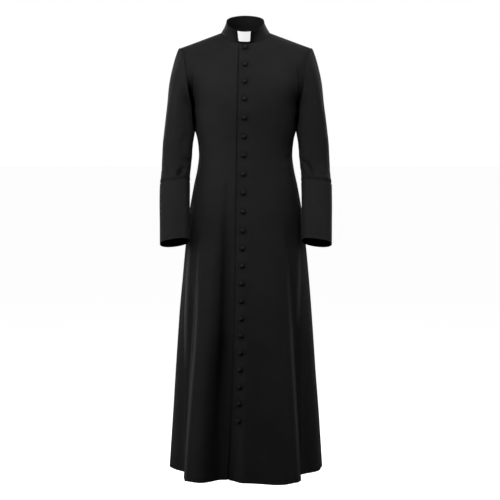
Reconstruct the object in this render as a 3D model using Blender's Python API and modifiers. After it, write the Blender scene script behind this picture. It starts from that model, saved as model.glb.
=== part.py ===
"""Cassock: a full-length, single-breasted clergy gown that keeps its worn shape.

The gown hangs from the wearer's neck. Its origin is the middle of the neck opening,
near the points where the shoulder seams meet the collar. +X is the wearer's left,
-Y is the front and +Z is up, all in metres.

Each piece is a sheet of cloth cut from one of three surfaces: the body, an arm or the
collar. A surface gives a point for two coordinates and is worked out from the tables
of sections and folds below. A panel is a grid of such points, rows from the bottom up
and columns from the wearer's right to left. Its inner face lies the cloth's thickness
in along the surface's own normals, so two panels that meet at a seam end on one plane,
as Solidify, which sees one panel at a time, can't make them do.
"""

from collections import namedtuple
import math

import bmesh
import bpy
from mathutils import Vector

# ---------------------------------------------------------------- driving sizes

CLOTH = 0.0015  # thickness of the cloth
SEAM = 0.0003  # gap between two pieces that are sewn together
LAP_STEP = CLOTH + SEAM  # a piece that lies on another stands off it by this

HEM_Z = -1.436
UNDERARM_Z = -0.250
PLAN_POWER = 2.2  # a plan or sleeve ring is a superellipse of this power
PLAN_BEND = 2.0 / PLAN_POWER

# Neckline: an oval that rises from the front to the back.
NECK_HALF_WIDTH = 0.078
NECK_SIDE_Y = 0.002
NECK_SIDE_Z = -0.008
NECK_FRONT_REACH = 0.080
NECK_FRONT_DROP = 0.037
NECK_BACK_REACH = 0.071
NECK_BACK_RISE = 0.020
NECK_SHARE = 0.45  # share of a panel's width that ends at the neckline

# Shoulder seam: from the neckline's side to the shoulder tip.
SHOULDER_TIP = Vector((0.209, 0.006, -0.0580))
SHOULDER_SLOPE = 0.445
SHOULDER_SAG = 0.50  # the slope eases towards the tip by this much a metre

ARMHOLE_REACH = 0.50  # depth of the armhole's cut, as a share of the chest's depth
CUT_START_SHARE = 0.30  # the armhole's round shape reaches this far into the panel
CENTRE_FALL_POWER = 1.5  # how straight the centre lines rise to the neckline
SHOULDER_FALL_POWER = 2.0  # how round the cloth turns over the shoulder

# Body sections. Above the underarm the half width is that of the armhole seam.
Section = namedtuple("Section", "z half_width front back")
SECTIONS = (
    Section(-1.436, 0.2440, 0.208, 0.230),
    Section(-1.250, 0.2336, 0.196, 0.214),
    Section(-1.050, 0.2226, 0.182, 0.197),
    Section(-0.850, 0.2094, 0.168, 0.178),
    Section(-0.700, 0.1960, 0.154, 0.160),
    Section(-0.600, 0.1850, 0.144, 0.144),
    Section(-0.500, 0.1678, 0.131, 0.124),
    Section(-0.440, 0.1552, 0.125, 0.111),
    Section(-0.400, 0.1510, 0.122, 0.106),
    Section(-0.360, 0.1540, 0.121, 0.106),
    Section(-0.320, 0.1620, 0.122, 0.110),
    Section(-0.285, 0.1675, 0.125, 0.115),
    Section(-0.250, 0.1712, 0.127, 0.120),
    Section(-0.200, 0.1810, 0.127, 0.123),
    Section(-0.158, 0.1850, 0.125, 0.123),
    Section(-0.110, 0.1920, 0.120, 0.119),
    Section(-0.069, 0.2010, 0.111, 0.110),
    Section(-0.058, 0.2090, 0.106, 0.105),
)

# Below the waist the skirt is widest behind the middle: the widest line drifts back.
DRIFT_TOP_Z = -0.60
HEM_DRIFT = 0.055

# Folds of the skirt. An angle is 0 at the centre front, 90 at the wearer's left side
# and -90 at the right one. A fold starts at its top, has its hip depth at HIP_Z and
# its hem depth at the hem; a negative depth is a hollow. Its spans reach from its
# crest towards the front and towards the back.
HIP_Z = -0.80
Fold = namedtuple("Fold", "hip_angle hem_angle top hip_depth hem_depth front_span back_span")
FOLDS = (
    # the wearer's right front: hollow beside the buttons, pleat edge, pleat, side ridge
    Fold(-11, -13, -0.50, -0.012, -0.050, 13, 18),
    Fold(-34, -33, -0.60, 0.001, 0.012, 12, 14),
    Fold(-47, -48, -0.58, 0.008, 0.019, 20, 9),
    Fold(-54, -60, -0.60, -0.003, -0.034, 8, 12),
    Fold(-56, -72, -0.60, -0.005, -0.036, 14, 22),
    Fold(-65, -62, -0.58, 0.005, 0.000, 8, 14),
    # the wearer's left front: broad roll, pleat edge, pleat, side ridge
    Fold(24, 26, -0.62, 0.005, 0.024, 20, 13),
    Fold(39, 40, -0.60, 0.008, 0.016, 12, 8),
    Fold(46, 52, -0.60, -0.003, -0.034, 7, 12),
    Fold(49, 62, -0.60, -0.005, -0.046, 12, 26),
    Fold(58, 55, -0.58, 0.005, 0.000, 8, 14),
    # the two sides, behind the pleats
    Fold(-104, -104, -0.60, 0.003, 0.014, 18, 18),
    Fold(102, 104, -0.60, 0.003, 0.014, 18, 18),
    # the back: hollows and rolls
    Fold(-126, -129, -0.56, -0.005, -0.026, 14, 15),
    Fold(-150, -152, -0.60, 0.004, 0.020, 14, 14),
    Fold(177, 178, -0.52, -0.006, -0.024, 17, 15),
    Fold(152, 155, -0.58, 0.004, 0.018, 13, 14),
    Fold(128, 132, -0.60, -0.004, -0.024, 15, 13),
)

# Front edges: the left front laps over the right one. The lines give x at a height.
EdgePoint = namedtuple("EdgePoint", "z x")
LAP_EDGE = (
    EdgePoint(-1.436, -0.0509),
    EdgePoint(-1.170, -0.0425),
    EdgePoint(-0.855, -0.0363),
    EdgePoint(-0.540, -0.0313),
    EdgePoint(-0.045, -0.0240),
)
BUTTON_LINE = (
    EdgePoint(-1.436, -0.0240),
    EdgePoint(-1.238, -0.0190),
    EdgePoint(-0.915, -0.0118),
    EdgePoint(-0.400, -0.0055),
    EdgePoint(-0.045, -0.0009),
)
UNDERLAP_X = 0.0186  # the right front ends here, under the left one

# Buttons: covered domes. Heights run evenly between the rows.
ButtonRow = namedtuple("ButtonRow", "number z")
BUTTON_ROWS = (
    ButtonRow(1, -0.055),
    ButtonRow(4, -0.220),
    ButtonRow(11, -0.637),
    ButtonRow(16, -0.914),
    ButtonRow(22, -1.238),
)
BUTTON_COUNT = 22
BUTTON_RADIUS = 0.0080
BUTTON_BACK_RADIUS = 0.0058
BUTTON_RIM_Z = 0.0022
BUTTON_HEIGHT = 0.0075
BUTTON_SIDES = 10
BUTTON_GAP = 0.0005

# Arm rings of the wearer's left sleeve. Pitch raises the ring's front edge and roll
# lowers its outer side, both in degrees.
ArmRing = namedtuple("ArmRing", "z inner outer depth centre_y pitch roll")
ARM_RINGS = (
    ArmRing(-0.679, 0.1815, 0.2710, 0.102, -0.092, 18, 8),
    ArmRing(-0.610, 0.1815, 0.2722, 0.104, -0.069, 18, 8),
    ArmRing(-0.545, 0.1818, 0.2736, 0.107, -0.046, 17, 7),
    ArmRing(-0.487, 0.1812, 0.2738, 0.111, -0.026, 16, 5),
    ArmRing(-0.441, 0.1772, 0.2710, 0.117, -0.010, 12, 0),
    ArmRing(-0.403, 0.1733, 0.2690, 0.122, -0.004, 8, 0),
    ArmRing(-0.365, 0.1704, 0.2671, 0.127, -0.001, 5, 0),
    ArmRing(-0.326, 0.1652, 0.2630, 0.131, 0.001, 2, 0),
    ArmRing(-0.276, 0.1694, 0.2575, 0.134, 0.002, 0, 0),
)
ARM_TOP_Z = ARM_RINGS[-1].z
ARM_ROWS = (-0.679, -0.610, -0.545, -0.487, -0.464, -0.441, -0.403, -0.365, -0.326, -0.300, -0.276)
CUFF_ROWS = 4  # the cuff covers this many of the arm's rows
CAP_ROWS = (0.16, 0.34, 0.52, 0.68, 0.82, 0.92, 0.975, 1.0)  # from the biceps to the armhole
CAP_RISE = 0.55  # how long the sleeve head keeps the arm's direction, as a share
CAP_LEAN = 0.12  # how far its outer side leans in on the way up, per metre
CAP_TURN = 0.022  # length over which it turns into the armhole seam
FRONT_ARM_SEAM = -54.0
BACK_ARM_SEAM = 198.0

# Collar: a band that flares to the neckline, open at the front over a white tab.
COLLAR_HALF_WIDTH = 0.0612
COLLAR_REACH = 0.0615
COLLAR_CENTRE_Y = -0.005
COLLAR_FRONT_Z = -0.0047
COLLAR_TILT = 0.475  # rise of the top edge towards the back, per metre
COLLAR_FLARE_POWER = 1.5
COLLAR_GAP_TOP = (-0.0290, 0.0218)  # x of the two ends at the top edge
COLLAR_BACK_COLUMNS = 12
COLLAR_GAP_BASE = (-0.0250, 0.0186)
COLLAR_ROWS = 3
TAB_TUCK = 0.009  # the tab runs this far behind each end of the band
TAB_INSET = CLOTH + 3 * SEAM  # the band's facets dip inwards by up to two gaps
TAB_ROWS, TAB_COLUMNS = 2, 6
TAB_LOW, TAB_HIGH = 0.05, 0.97  # its edges, as shares of the band's height

# Grid of the body panels.
EASE_SHARE = 0.5  # share of the lap's step left one column past the underlap
NECK_COLUMNS = 5  # columns from the front lap to the neck side, and from there to the
SHOULDER_COLUMNS = 7  # armhole
BACK_NECK_COLUMNS = 6
BACK_SHOULDER_COLUMNS = 5
ARMHOLE_STEPS = 10  # rows between the underarm and the shoulder tip
NEAR_SEAM_RISE = 0.965  # one more row close to the shoulder seam keeps it smooth
HEM_ROWS = (HEM_Z, -1.370, -1.304)

BLACK = (0.012, 0.012, 0.013, 1.0)
COVERED = (0.016, 0.016, 0.017, 1.0)
WHITE = (0.84, 0.84, 0.83, 1.0)


# ---------------------------------------------------------------- small helpers

Spot = namedtuple("Spot", "point normal")
ANGLE_STEP = 0.5  # steps of the differences that give a surface's normal
LEVEL_STEP = 0.01


def smooth_value(xs, ys, x):
    """Value at x of a smooth curve through the points, with no overshoot."""
    x = min(max(x, xs[0]), xs[-1])
    steps = [(ys[i + 1] - ys[i]) / (xs[i + 1] - xs[i]) for i in range(len(xs) - 1)]

    def slope(i):
        if i == 0 or i == len(xs) - 1:
            return steps[min(i, len(steps) - 1)]
        before, after = steps[i - 1], steps[i]
        if before * after <= 0.0:
            return 0.0
        return 2.0 * before * after / (before + after)

    i = 0
    while i < len(xs) - 2 and x > xs[i + 1]:
        i += 1
    width = xs[i + 1] - xs[i]
    t = (x - xs[i]) / width
    start = ys[i] * (1 + 2 * t) * (1 - t) ** 2 + slope(i) * width * t * (1 - t) ** 2
    end = ys[i + 1] * t * t * (3 - 2 * t) - slope(i + 1) * width * t * t * (1 - t)
    return start + end


def column(table, name, z):
    """Value of a table's named column at a height."""
    return smooth_value([row.z for row in table], [getattr(row, name) for row in table], z)


def mix(a, b, share):
    return a + (b - a) * share


def ease(t):
    """0 to 1 with flat ends."""
    t = min(max(t, 0.0), 1.0)
    return t * t * (3 - 2 * t)


def rounded(value):
    """A sine or cosine bent to the superellipse, keeping its sign."""
    return math.copysign(abs(value) ** PLAN_BEND, value)


def superellipse_partner(share):
    """The other coordinate of the superellipse, both as shares of their half axes."""
    return max(0.0, 1.0 - abs(share) ** PLAN_POWER) ** (1.0 / PLAN_POWER)


def surface_normal(surface, angle, level):
    """Outward unit normal of a surface whose angle runs to the left and level upwards."""
    along = surface(angle + ANGLE_STEP, level) - surface(angle - ANGLE_STEP, level)
    up = surface(angle, level + LEVEL_STEP) - surface(angle, level - LEVEL_STEP)
    return along.cross(up).normalized()


def spot_on(surface, angle, level, lift=0.0):
    """A grid spot of a surface, moved out by lift."""
    normal = surface_normal(surface, angle, level)
    return Spot(surface(angle, level) + normal * lift, normal)


# ---------------------------------------------------------------- body surface


def fold_depth(fold, z):
    """Depth of a fold at a height: nothing at its top, then hip depth, hem depth."""
    if z >= fold.top:
        return 0.0
    if z >= HIP_Z:
        return fold.hip_depth * ease((fold.top - z) / (fold.top - HIP_Z))
    return mix(fold.hip_depth, fold.hem_depth, (HIP_Z - z) / (HIP_Z - HEM_Z))


def fold_offset(angle, z):
    """How far all folds together move the cloth outwards."""
    total = 0.0
    for fold in FOLDS:
        crest = mix(fold.hip_angle, fold.hem_angle, (HIP_Z - z) / (HIP_Z - HEM_Z))
        away = (angle - crest + 180.0) % 360.0 - 180.0
        away *= math.copysign(1.0, crest)
        span = fold.front_span if away < 0 else fold.back_span
        if abs(away) < span:
            total += fold_depth(fold, z) * 0.5 * (1.0 + math.cos(math.pi * away / span))
    return total


def skirt_point(angle, z, back):
    """Point of the body below the underarm."""
    turn = math.radians(angle)
    half_width = column(SECTIONS, "half_width", z)
    depth = column(SECTIONS, "back" if back else "front", z)
    drift = HEM_DRIFT * max(0.0, (DRIFT_TOP_Z - z) / (DRIFT_TOP_Z - HEM_Z))
    x = half_width * rounded(math.sin(turn))
    y = drift - (depth - drift if back else depth + drift) * rounded(math.cos(turn))
    outwards = Vector((math.sin(turn) / half_width, -math.cos(turn) / depth, 0.0)).normalized()
    return Vector((x, y, z)) + outwards * fold_offset(angle, z)


def neckline_point(turn):
    """Seam between body and collar; turn 0 is the centre front, 180 the back."""
    forward = math.cos(math.radians(turn))
    reach, drop = (NECK_FRONT_REACH, NECK_FRONT_DROP)
    if forward < 0:
        reach, drop = (NECK_BACK_REACH, NECK_BACK_RISE)
    x = NECK_HALF_WIDTH * math.sin(math.radians(turn))
    return Vector((x, NECK_SIDE_Y - reach * forward, NECK_SIDE_Z - drop * forward))


def top_line_point(share, back):
    """Upper edge of a body panel: the neckline, then the shoulder seam."""
    if share <= NECK_SHARE:
        turn = 90.0 * share / NECK_SHARE
        return neckline_point(180.0 - turn if back else turn)
    along = (share - NECK_SHARE) / (1.0 - NECK_SHARE)
    x = mix(NECK_HALF_WIDTH, SHOULDER_TIP.x, along)
    run = x - NECK_HALF_WIDTH
    z = NECK_SIDE_Z - SHOULDER_SLOPE * run + SHOULDER_SAG * run * run
    return Vector((x, mix(NECK_SIDE_Y, SHOULDER_TIP.y, along), z))


def bodice_point(share, rise, back):
    """Point of the body above the underarm on the wearer's left side.

    share is 0 at the centre line and 1 at the armhole; rise is 0 at the underarm and
    1 at the neckline or shoulder seam.
    """
    top = top_line_point(share, back)
    lift = 0.5 * (1.0 - math.cos(math.pi * rise))
    armhole_z = mix(UNDERARM_Z, SHOULDER_TIP.z, lift)
    armhole_x = column(SECTIONS, "half_width", armhole_z)
    depth = column(SECTIONS, "back" if back else "front", armhole_z)

    chest_share = rounded(math.sin(math.radians(90.0 * share)))
    across = mix(chest_share, top.x / SHOULDER_TIP.x, lift**1.5)
    x = across * armhole_x
    cut = ARMHOLE_REACH * 2.0 * math.sqrt(lift * (1.0 - lift))
    full_half_width = armhole_x / superellipse_partner(cut)
    chest = superellipse_partner(x / full_half_width)

    power = mix(CENTRE_FALL_POWER, SHOULDER_FALL_POWER, ease(share / NECK_SHARE))
    fall = max(0.0, 1.0 - lift**power) ** (1.0 / power)
    round_cut = cut * ease((share - CUT_START_SHARE) / (1.0 - CUT_START_SHARE))
    reach = depth * math.sqrt((chest * fall) ** 2 + round_cut**2 * (1.0 - fall**2))
    y = top.y * (1.0 - fall) + (reach if back else -reach)
    return Vector((x, y, mix(UNDERARM_Z, top.z, lift)))


def body_point(angle, level, back=False):
    """Point of the body; level is -1 at the hem, 0 at the underarm, 1 at the top."""
    if level <= 0.0:
        return skirt_point(angle, mix(UNDERARM_Z, HEM_Z, -level), back)
    share = (180.0 - abs(angle)) / 90.0 if back else abs(angle) / 90.0
    point = bodice_point(min(abs(share), 1.0), min(level, 1.0), back)
    point.x = math.copysign(point.x, math.sin(math.radians(angle)))
    return point


def front_surface(angle, level):
    return body_point(angle, level)


def back_surface(angle, level):
    return body_point(angle, level, back=True)


def level_of(z):
    """Level of a height below the underarm."""
    return (z - UNDERARM_Z) / (UNDERARM_Z - HEM_Z)


def front_angle_at(line, level):
    """Angle at which a front edge line crosses a row, found by halving."""
    low, high = -25.0, 25.0
    for _ in range(40):
        angle = 0.5 * (low + high)
        point = front_surface(angle, level)
        if point.x < smooth_value([p.z for p in line], [p.x for p in line], point.z):
            low = angle
        else:
            high = angle
    return 0.5 * (low + high)


# ---------------------------------------------------------------- grids of panels


def button_heights():
    """Height of each button, from the neck down."""
    numbers = [row.number for row in BUTTON_ROWS]
    heights = []
    for number in range(1, BUTTON_COUNT + 1):
        i = max(k for k in range(len(numbers) - 1) if numbers[k] <= number)
        share = (number - numbers[i]) / (numbers[i + 1] - numbers[i])
        heights.append(mix(BUTTON_ROWS[i].z, BUTTON_ROWS[i + 1].z, share))
    return heights


def body_levels():
    """Rows of the body: the hem, one at each button below the underarm, the bodice."""
    heights = list(HEM_ROWS)
    heights += sorted(z for z in button_heights() if z < UNDERARM_Z)
    levels = [level_of(z) for z in heights]
    levels += [k / ARMHOLE_STEPS for k in range(ARMHOLE_STEPS)]
    return levels + [NEAR_SEAM_RISE, 1.0]


def lap_angles(level):
    """Angles of the lap's edge, the button line and the underlap's edge on a row."""
    under_edge = (EdgePoint(HEM_Z, UNDERLAP_X), EdgePoint(0.0, UNDERLAP_X))
    return [front_angle_at(line, level) for line in (LAP_EDGE, BUTTON_LINE, under_edge)]


def spread(start, stop, count):
    """Evenly spaced values after start, up to stop."""
    return [mix(start, stop, (k + 1) / count) for k in range(count)]


def front_left_row(level):
    lap, buttons, underlap = lap_angles(level)
    neck_side = 90.0 * NECK_SHARE
    rest = spread(underlap, neck_side, NECK_COLUMNS) + spread(neck_side, 90.0, SHOULDER_COLUMNS)
    row = [spot_on(front_surface, angle, level, LAP_STEP) for angle in (lap, buttons, underlap)]
    row.append(spot_on(front_surface, rest[0], level, LAP_STEP * EASE_SHARE))
    return row + [spot_on(front_surface, angle, level) for angle in rest[1:]]


def front_right_row(level):
    lap, buttons, underlap = lap_angles(level)
    neck_side = -90.0 * NECK_SHARE
    rest = spread(lap, neck_side, NECK_COLUMNS) + spread(neck_side, -90.0, SHOULDER_COLUMNS)
    angles = list(reversed(rest)) + [lap, buttons, underlap]
    return [spot_on(front_surface, angle, level) for angle in angles]


def back_row(level, side):
    """Row of a back panel; side is 1 for the wearer's left and -1 for the right."""
    neck_side = 180.0 - 90.0 * NECK_SHARE
    angles = [90.0] + spread(90.0, neck_side, BACK_SHOULDER_COLUMNS)
    angles += spread(neck_side, 180.0, BACK_NECK_COLUMNS)
    row = [spot_on(back_surface, side * angle, level) for angle in angles]
    return row if side > 0 else row[::-1]


def drawn_back(spot, neighbour):
    """A seam's spot, half a seam's gap nearer to its neighbour inside the panel."""
    step = (neighbour.point - spot.point).normalized() * (SEAM / 2)
    return Spot(spot.point + step, spot.normal)


def inset(grid, first=False, last=False, top=False):
    """Draw a grid's first or last column or top row back from the seam there."""
    if first:
        for row in grid:
            row[0] = drawn_back(row[0], row[1])
    if last:
        for row in grid:
            row[-1] = drawn_back(row[-1], row[-2])
    if top:
        grid[-1] = [drawn_back(spot, below) for spot, below in zip(grid[-1], grid[-2])]
    return grid


# ---------------------------------------------------------------- arm surface


def ring_point(angle, z):
    """Point of a left arm ring: angle 0 is its front, 90 its outer side."""
    turn = math.radians(angle)
    ring = {name: column(ARM_RINGS, name, z) for name in ArmRing._fields[1:]}
    half_width = 0.5 * (ring["outer"] - ring["inner"])
    centre = Vector((0.5 * (ring["outer"] + ring["inner"]), ring["centre_y"], z))
    pitch = math.radians(ring["pitch"])
    outwards = Vector((1.0, 0.0, -math.tan(math.radians(ring["roll"]))))
    forwards = Vector((0.0, -math.cos(pitch), math.sin(pitch)))
    across = outwards * half_width * rounded(math.sin(turn))
    return centre + across + forwards * 0.5 * ring["depth"] * rounded(math.cos(turn))


def armhole_point(angle):
    """Point of the left armhole: angle 0 is its front, 90 the shoulder tip."""
    lift = 0.5 * (1.0 + math.sin(math.radians(angle)))
    rise = math.acos(1.0 - 2.0 * lift) / math.pi
    return bodice_point(1.0, rise, back=math.cos(math.radians(angle)) < 0.0)


def cap_point(angle, share):
    """Point of the sleeve head, from the top arm ring (0) to the armhole (1)."""
    turn = math.radians(angle)
    start = ring_point(angle, ARM_TOP_Z)
    end = armhole_point(angle)
    length = (end - start).length
    rise = CAP_RISE * length
    first = start + Vector((-CAP_LEAN * rise * max(0.0, math.sin(turn)), 0.0, rise))
    outward = Vector((1.0, -0.4 * math.cos(turn), -0.36 * math.sin(turn))).normalized()
    reach = CAP_TURN * (0.2 + 0.4 * (1.0 + math.sin(turn)))
    second = end + outward * reach
    s, t = 1.0 - share, share
    return start * s**3 + first * 3 * s * s * t + second * 3 * s * t * t + end * t**3


def arm_surface(angle, level):
    """Point of the left arm: level -1 is the wrist, 0 the biceps, 1 the armhole."""
    if level <= 0.0:
        return ring_point(angle, mix(ARM_TOP_Z, ARM_RINGS[0].z, -level))
    return cap_point(angle, min(level, 1.0))


def arm_angles(start, stop):
    """The armhole's row angles between two seams, so both sides meet point to point."""
    step = 180.0 / ARMHOLE_STEPS
    near_seam = 180.0 * (1.0 - NEAR_SEAM_RISE)
    angles = [90.0 - near_seam, 90.0 + near_seam]
    angles += [step * k for k in range(-ARMHOLE_STEPS, 2 * ARMHOLE_STEPS)]
    return sorted(angle for angle in angles if start <= angle <= stop)


def arm_levels():
    """Rows of a sleeve: from the wrist to the biceps, then the sleeve head."""
    length = ARM_TOP_Z - ARM_RINGS[0].z
    return [(z - ARM_TOP_Z) / length for z in ARM_ROWS] + list(CAP_ROWS)


def mirrored(grid):
    """The same grid for the wearer's right side, with its columns in reverse."""
    flip = Vector((-1.0, 1.0, 1.0))
    return [[Spot(s.point * flip, s.normal * flip) for s in reversed(row)] for row in grid]


def sleeve_grid(start, stop, side):
    angles = arm_angles(start, stop)
    grid = [[spot_on(arm_surface, angle, level) for angle in angles] for level in arm_levels()]
    inset(grid, first=True, last=True, top=True)
    return grid if side > 0 else mirrored(grid)


def cuff_grid(side):
    angles = arm_angles(-90.0, 270.0)[:-1]
    levels = arm_levels()[:CUFF_ROWS]
    grid = [[spot_on(arm_surface, angle, level, LAP_STEP) for angle in angles] for level in levels]
    return grid if side > 0 else mirrored(grid)


# ---------------------------------------------------------------- collar surface


def collar_surface(turn, height):
    """Point of the band: turn as on the neckline, height 0 at its base, 1 at its top."""
    height = min(max(height, 0.0), 1.0)
    base = neckline_point(turn)
    forward = math.cos(math.radians(turn))
    y = COLLAR_CENTRE_Y - COLLAR_REACH * forward
    z = COLLAR_FRONT_Z + COLLAR_TILT * (y - COLLAR_CENTRE_Y + COLLAR_REACH)
    top = Vector((COLLAR_HALF_WIDTH * math.sin(math.radians(turn)), y, z))
    flare = (1.0 - height) ** COLLAR_FLARE_POWER
    point = top.lerp(base, flare)
    point.z = mix(base.z, top.z, height)
    return point


def collar_turn_at(x, height):
    """Turn, within the front half, at which the band has this x."""
    flare = (1.0 - height) ** COLLAR_FLARE_POWER
    half_width = mix(COLLAR_HALF_WIDTH, NECK_HALF_WIDTH, flare)
    return math.degrees(math.asin(x / half_width))


def collar_grid():
    grid = []
    for k in range(COLLAR_ROWS + 1):
        height = k / COLLAR_ROWS
        right, left = (mix(a, b, height) for a, b in zip(COLLAR_GAP_BASE, COLLAR_GAP_TOP))
        start, stop = collar_turn_at(left, height), 360.0 + collar_turn_at(right, height)
        turns = [start] + spread(start, 90.0, NECK_COLUMNS) + spread(90.0, 270.0, COLLAR_BACK_COLUMNS)
        turns += spread(270.0, stop, NECK_COLUMNS)
        grid.append([spot_on(collar_surface, turn, height) for turn in turns])
    grid[0] = [drawn_back(spot, above) for spot, above in zip(grid[0], grid[1])]
    return grid


def tab_grid():
    grid = []
    for k in range(TAB_ROWS + 1):
        height = mix(TAB_LOW, TAB_HIGH, k / TAB_ROWS)
        right, left = (mix(a, b, height) for a, b in zip(COLLAR_GAP_BASE, COLLAR_GAP_TOP))
        start = collar_turn_at(right - TAB_TUCK, height)
        stop = collar_turn_at(left + TAB_TUCK, height)
        turns = [start] + spread(start, stop, TAB_COLUMNS)
        grid.append([spot_on(collar_surface, turn, height, -TAB_INSET) for turn in turns])
    return grid


# ---------------------------------------------------------------- objects


def clear_scene():
    for thing in list(bpy.data.objects):
        bpy.data.objects.remove(thing, do_unlink=True)


def make_material(name, color, roughness):
    material = bpy.data.materials.new(name)
    material.use_nodes = True
    shader = material.node_tree.nodes["Principled BSDF"]
    shader.inputs["Base Color"].default_value = color
    shader.inputs["Roughness"].default_value = roughness
    shader.inputs["Metallic"].default_value = 0.0
    return material


def add_object(name, mesh, material, collection):
    mesh.materials.append(material)
    mesh.shade_smooth()
    thing = bpy.data.objects.new(name, mesh)
    collection.objects.link(thing)
    return thing


def cloth_panel(name, grid, material, collection, closed=False):
    """A sheet of cloth on a grid of outer spots; a closed one joins up around a tube."""
    shell = bmesh.new()
    outer = [[shell.verts.new(spot.point) for spot in row] for row in grid]
    inner = [[shell.verts.new(spot.point - spot.normal * CLOTH) for spot in row] for row in grid]
    last_row, columns = len(grid) - 1, len(grid[0])
    for c in range(columns if closed else columns - 1):
        n = (c + 1) % columns
        for r in range(last_row):
            shell.faces.new((outer[r][c], outer[r][n], outer[r + 1][n], outer[r + 1][c]))
            shell.faces.new((inner[r][c], inner[r + 1][c], inner[r + 1][n], inner[r][n]))
        shell.faces.new((outer[0][n], outer[0][c], inner[0][c], inner[0][n]))
        shell.faces.new((outer[-1][c], outer[-1][n], inner[-1][n], inner[-1][c]))
    for r in range(0 if closed else last_row):
        shell.faces.new((outer[r][0], outer[r + 1][0], inner[r + 1][0], inner[r][0]))
        shell.faces.new((outer[r + 1][-1], outer[r][-1], inner[r][-1], inner[r + 1][-1]))
    mesh = bpy.data.meshes.new(name)
    shell.to_mesh(mesh)
    shell.free()
    return add_object(name, mesh, material, collection)


def make_fronts(material, collection):
    levels = body_levels()
    left = inset([front_left_row(level) for level in levels], last=True, top=True)
    right = inset([front_right_row(level) for level in levels], first=True, top=True)
    cloth_panel("front_left", left, material, collection)
    cloth_panel("front_right", right, material, collection)


def make_backs(material, collection):
    for name, side in (("back_left", 1), ("back_right", -1)):
        grid = [back_row(level, side) for level in body_levels()]
        inset(grid, first=True, last=True, top=True)
        cloth_panel(name, grid, material, collection)


def make_sleeves(material, collection):
    for word, side in (("left", 1), ("right", -1)):
        top = sleeve_grid(FRONT_ARM_SEAM, BACK_ARM_SEAM, side)
        under = sleeve_grid(BACK_ARM_SEAM, 360.0 + FRONT_ARM_SEAM, side)
        cloth_panel("sleeve_top_" + word, top, material, collection)
        cloth_panel("sleeve_under_" + word, under, material, collection)
        cloth_panel("cuff_" + word, cuff_grid(side), material, collection, closed=True)


def make_collar(cloth, tab_material, collection):
    cloth_panel("collar_band", collar_grid(), cloth, collection)
    cloth_panel("collar_tab", tab_grid(), tab_material, collection)


def button_profile():
    """Half outline of a button, from the dome's top to the middle of its back."""
    rise = BUTTON_HEIGHT - BUTTON_RIM_Z
    points = []
    for degrees in (90.0, 56.0, 26.0, 0.0):
        turn = math.radians(degrees)
        points.append((BUTTON_RADIUS * math.cos(turn), BUTTON_RIM_Z + rise * math.sin(turn)))
    points[0] = (0.0, BUTTON_HEIGHT)
    return points + [(BUTTON_BACK_RADIUS, 0.0), (0.0, 0.0)]


def button_mesh():
    """The button's half outline as a line of edges, to be turned by Screw."""
    outline = bmesh.new()
    verts = [outline.verts.new((x, 0.0, z)) for x, z in button_profile()]
    for above, below in zip(verts, verts[1:]):
        outline.edges.new((above, below))
    mesh = bpy.data.meshes.new("button")
    outline.to_mesh(mesh)
    outline.free()
    return mesh


def button_place(z):
    """The spot where a button sits on the left front."""
    if z < UNDERARM_Z:
        level = level_of(z)
        angle = front_angle_at(BUTTON_LINE, level)
    else:
        low, high = 0.0, 1.0
        for _ in range(40):
            level = 0.5 * (low + high)
            angle = front_angle_at(BUTTON_LINE, level)
            if front_surface(angle, level).z < z:
                low = level
            else:
                high = level
    return spot_on(front_surface, angle, level, LAP_STEP + BUTTON_GAP)


def make_buttons(material, collection):
    mesh = button_mesh()
    mesh.materials.append(material)
    for number, z in enumerate(button_heights(), start=1):
        thing = bpy.data.objects.new("button_%02d" % number, mesh)
        collection.objects.link(thing)
        seat = button_place(z)
        thing.location = seat.point
        thing.rotation_euler = seat.normal.to_track_quat("Z", "Y").to_euler()
        turned = thing.modifiers.new("dome", "SCREW")
        turned.steps = BUTTON_SIDES
        turned.render_steps = BUTTON_SIDES
        turned.use_merge_vertices = True
        turned.merge_threshold = 0.00005
        turned.use_smooth_shade = True


def main():
    clear_scene()
    collection = bpy.data.collections.new("cassock")
    bpy.context.scene.collection.children.link(collection)
    cloth = make_material("black worsted", BLACK, 0.85)
    covered = make_material("covered button", COVERED, 0.70)
    white = make_material("white tab", WHITE, 0.45)
    make_fronts(cloth, collection)
    make_backs(cloth, collection)
    make_sleeves(cloth, collection)
    make_collar(cloth, white, collection)
    make_buttons(covered, collection)


main()
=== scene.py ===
"""Cassock: the look of the black clergy gown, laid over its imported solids.

Every piece of cloth is a thin shell on the same surfaces that its solid is cut from,
on a finer grid, with the soft creases, pressed edges, seams and stitches of the real
one. +X is the wearer's left, -Y the front and +Z up, in metres.
"""

from collections import namedtuple
import math

import bpy
import numpy as np
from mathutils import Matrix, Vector


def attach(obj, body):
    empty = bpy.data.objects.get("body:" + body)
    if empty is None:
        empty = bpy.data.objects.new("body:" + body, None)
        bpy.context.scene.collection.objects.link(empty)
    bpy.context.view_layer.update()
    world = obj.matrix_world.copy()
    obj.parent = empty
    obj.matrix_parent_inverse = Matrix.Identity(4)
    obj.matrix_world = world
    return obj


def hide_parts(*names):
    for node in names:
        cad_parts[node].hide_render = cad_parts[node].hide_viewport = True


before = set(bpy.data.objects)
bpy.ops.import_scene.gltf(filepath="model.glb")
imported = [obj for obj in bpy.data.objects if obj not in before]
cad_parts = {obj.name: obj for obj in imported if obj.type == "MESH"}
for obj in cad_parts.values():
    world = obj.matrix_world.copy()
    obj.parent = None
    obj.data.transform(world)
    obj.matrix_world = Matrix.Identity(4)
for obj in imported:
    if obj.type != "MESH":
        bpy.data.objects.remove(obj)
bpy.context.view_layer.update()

# ------------------------------------------------------------ the gown's own sizes

CLOTH = 0.0015
# The edges run this far past each seam, so that no light comes through it.
SEAM_SHIFT = -0.0004
LAP_STEP = 0.0018
HEM_Z = -1.436
UNDERARM_Z = -0.250
PLAN_POWER = 2.2
PLAN_BEND = 2.0 / PLAN_POWER

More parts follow.
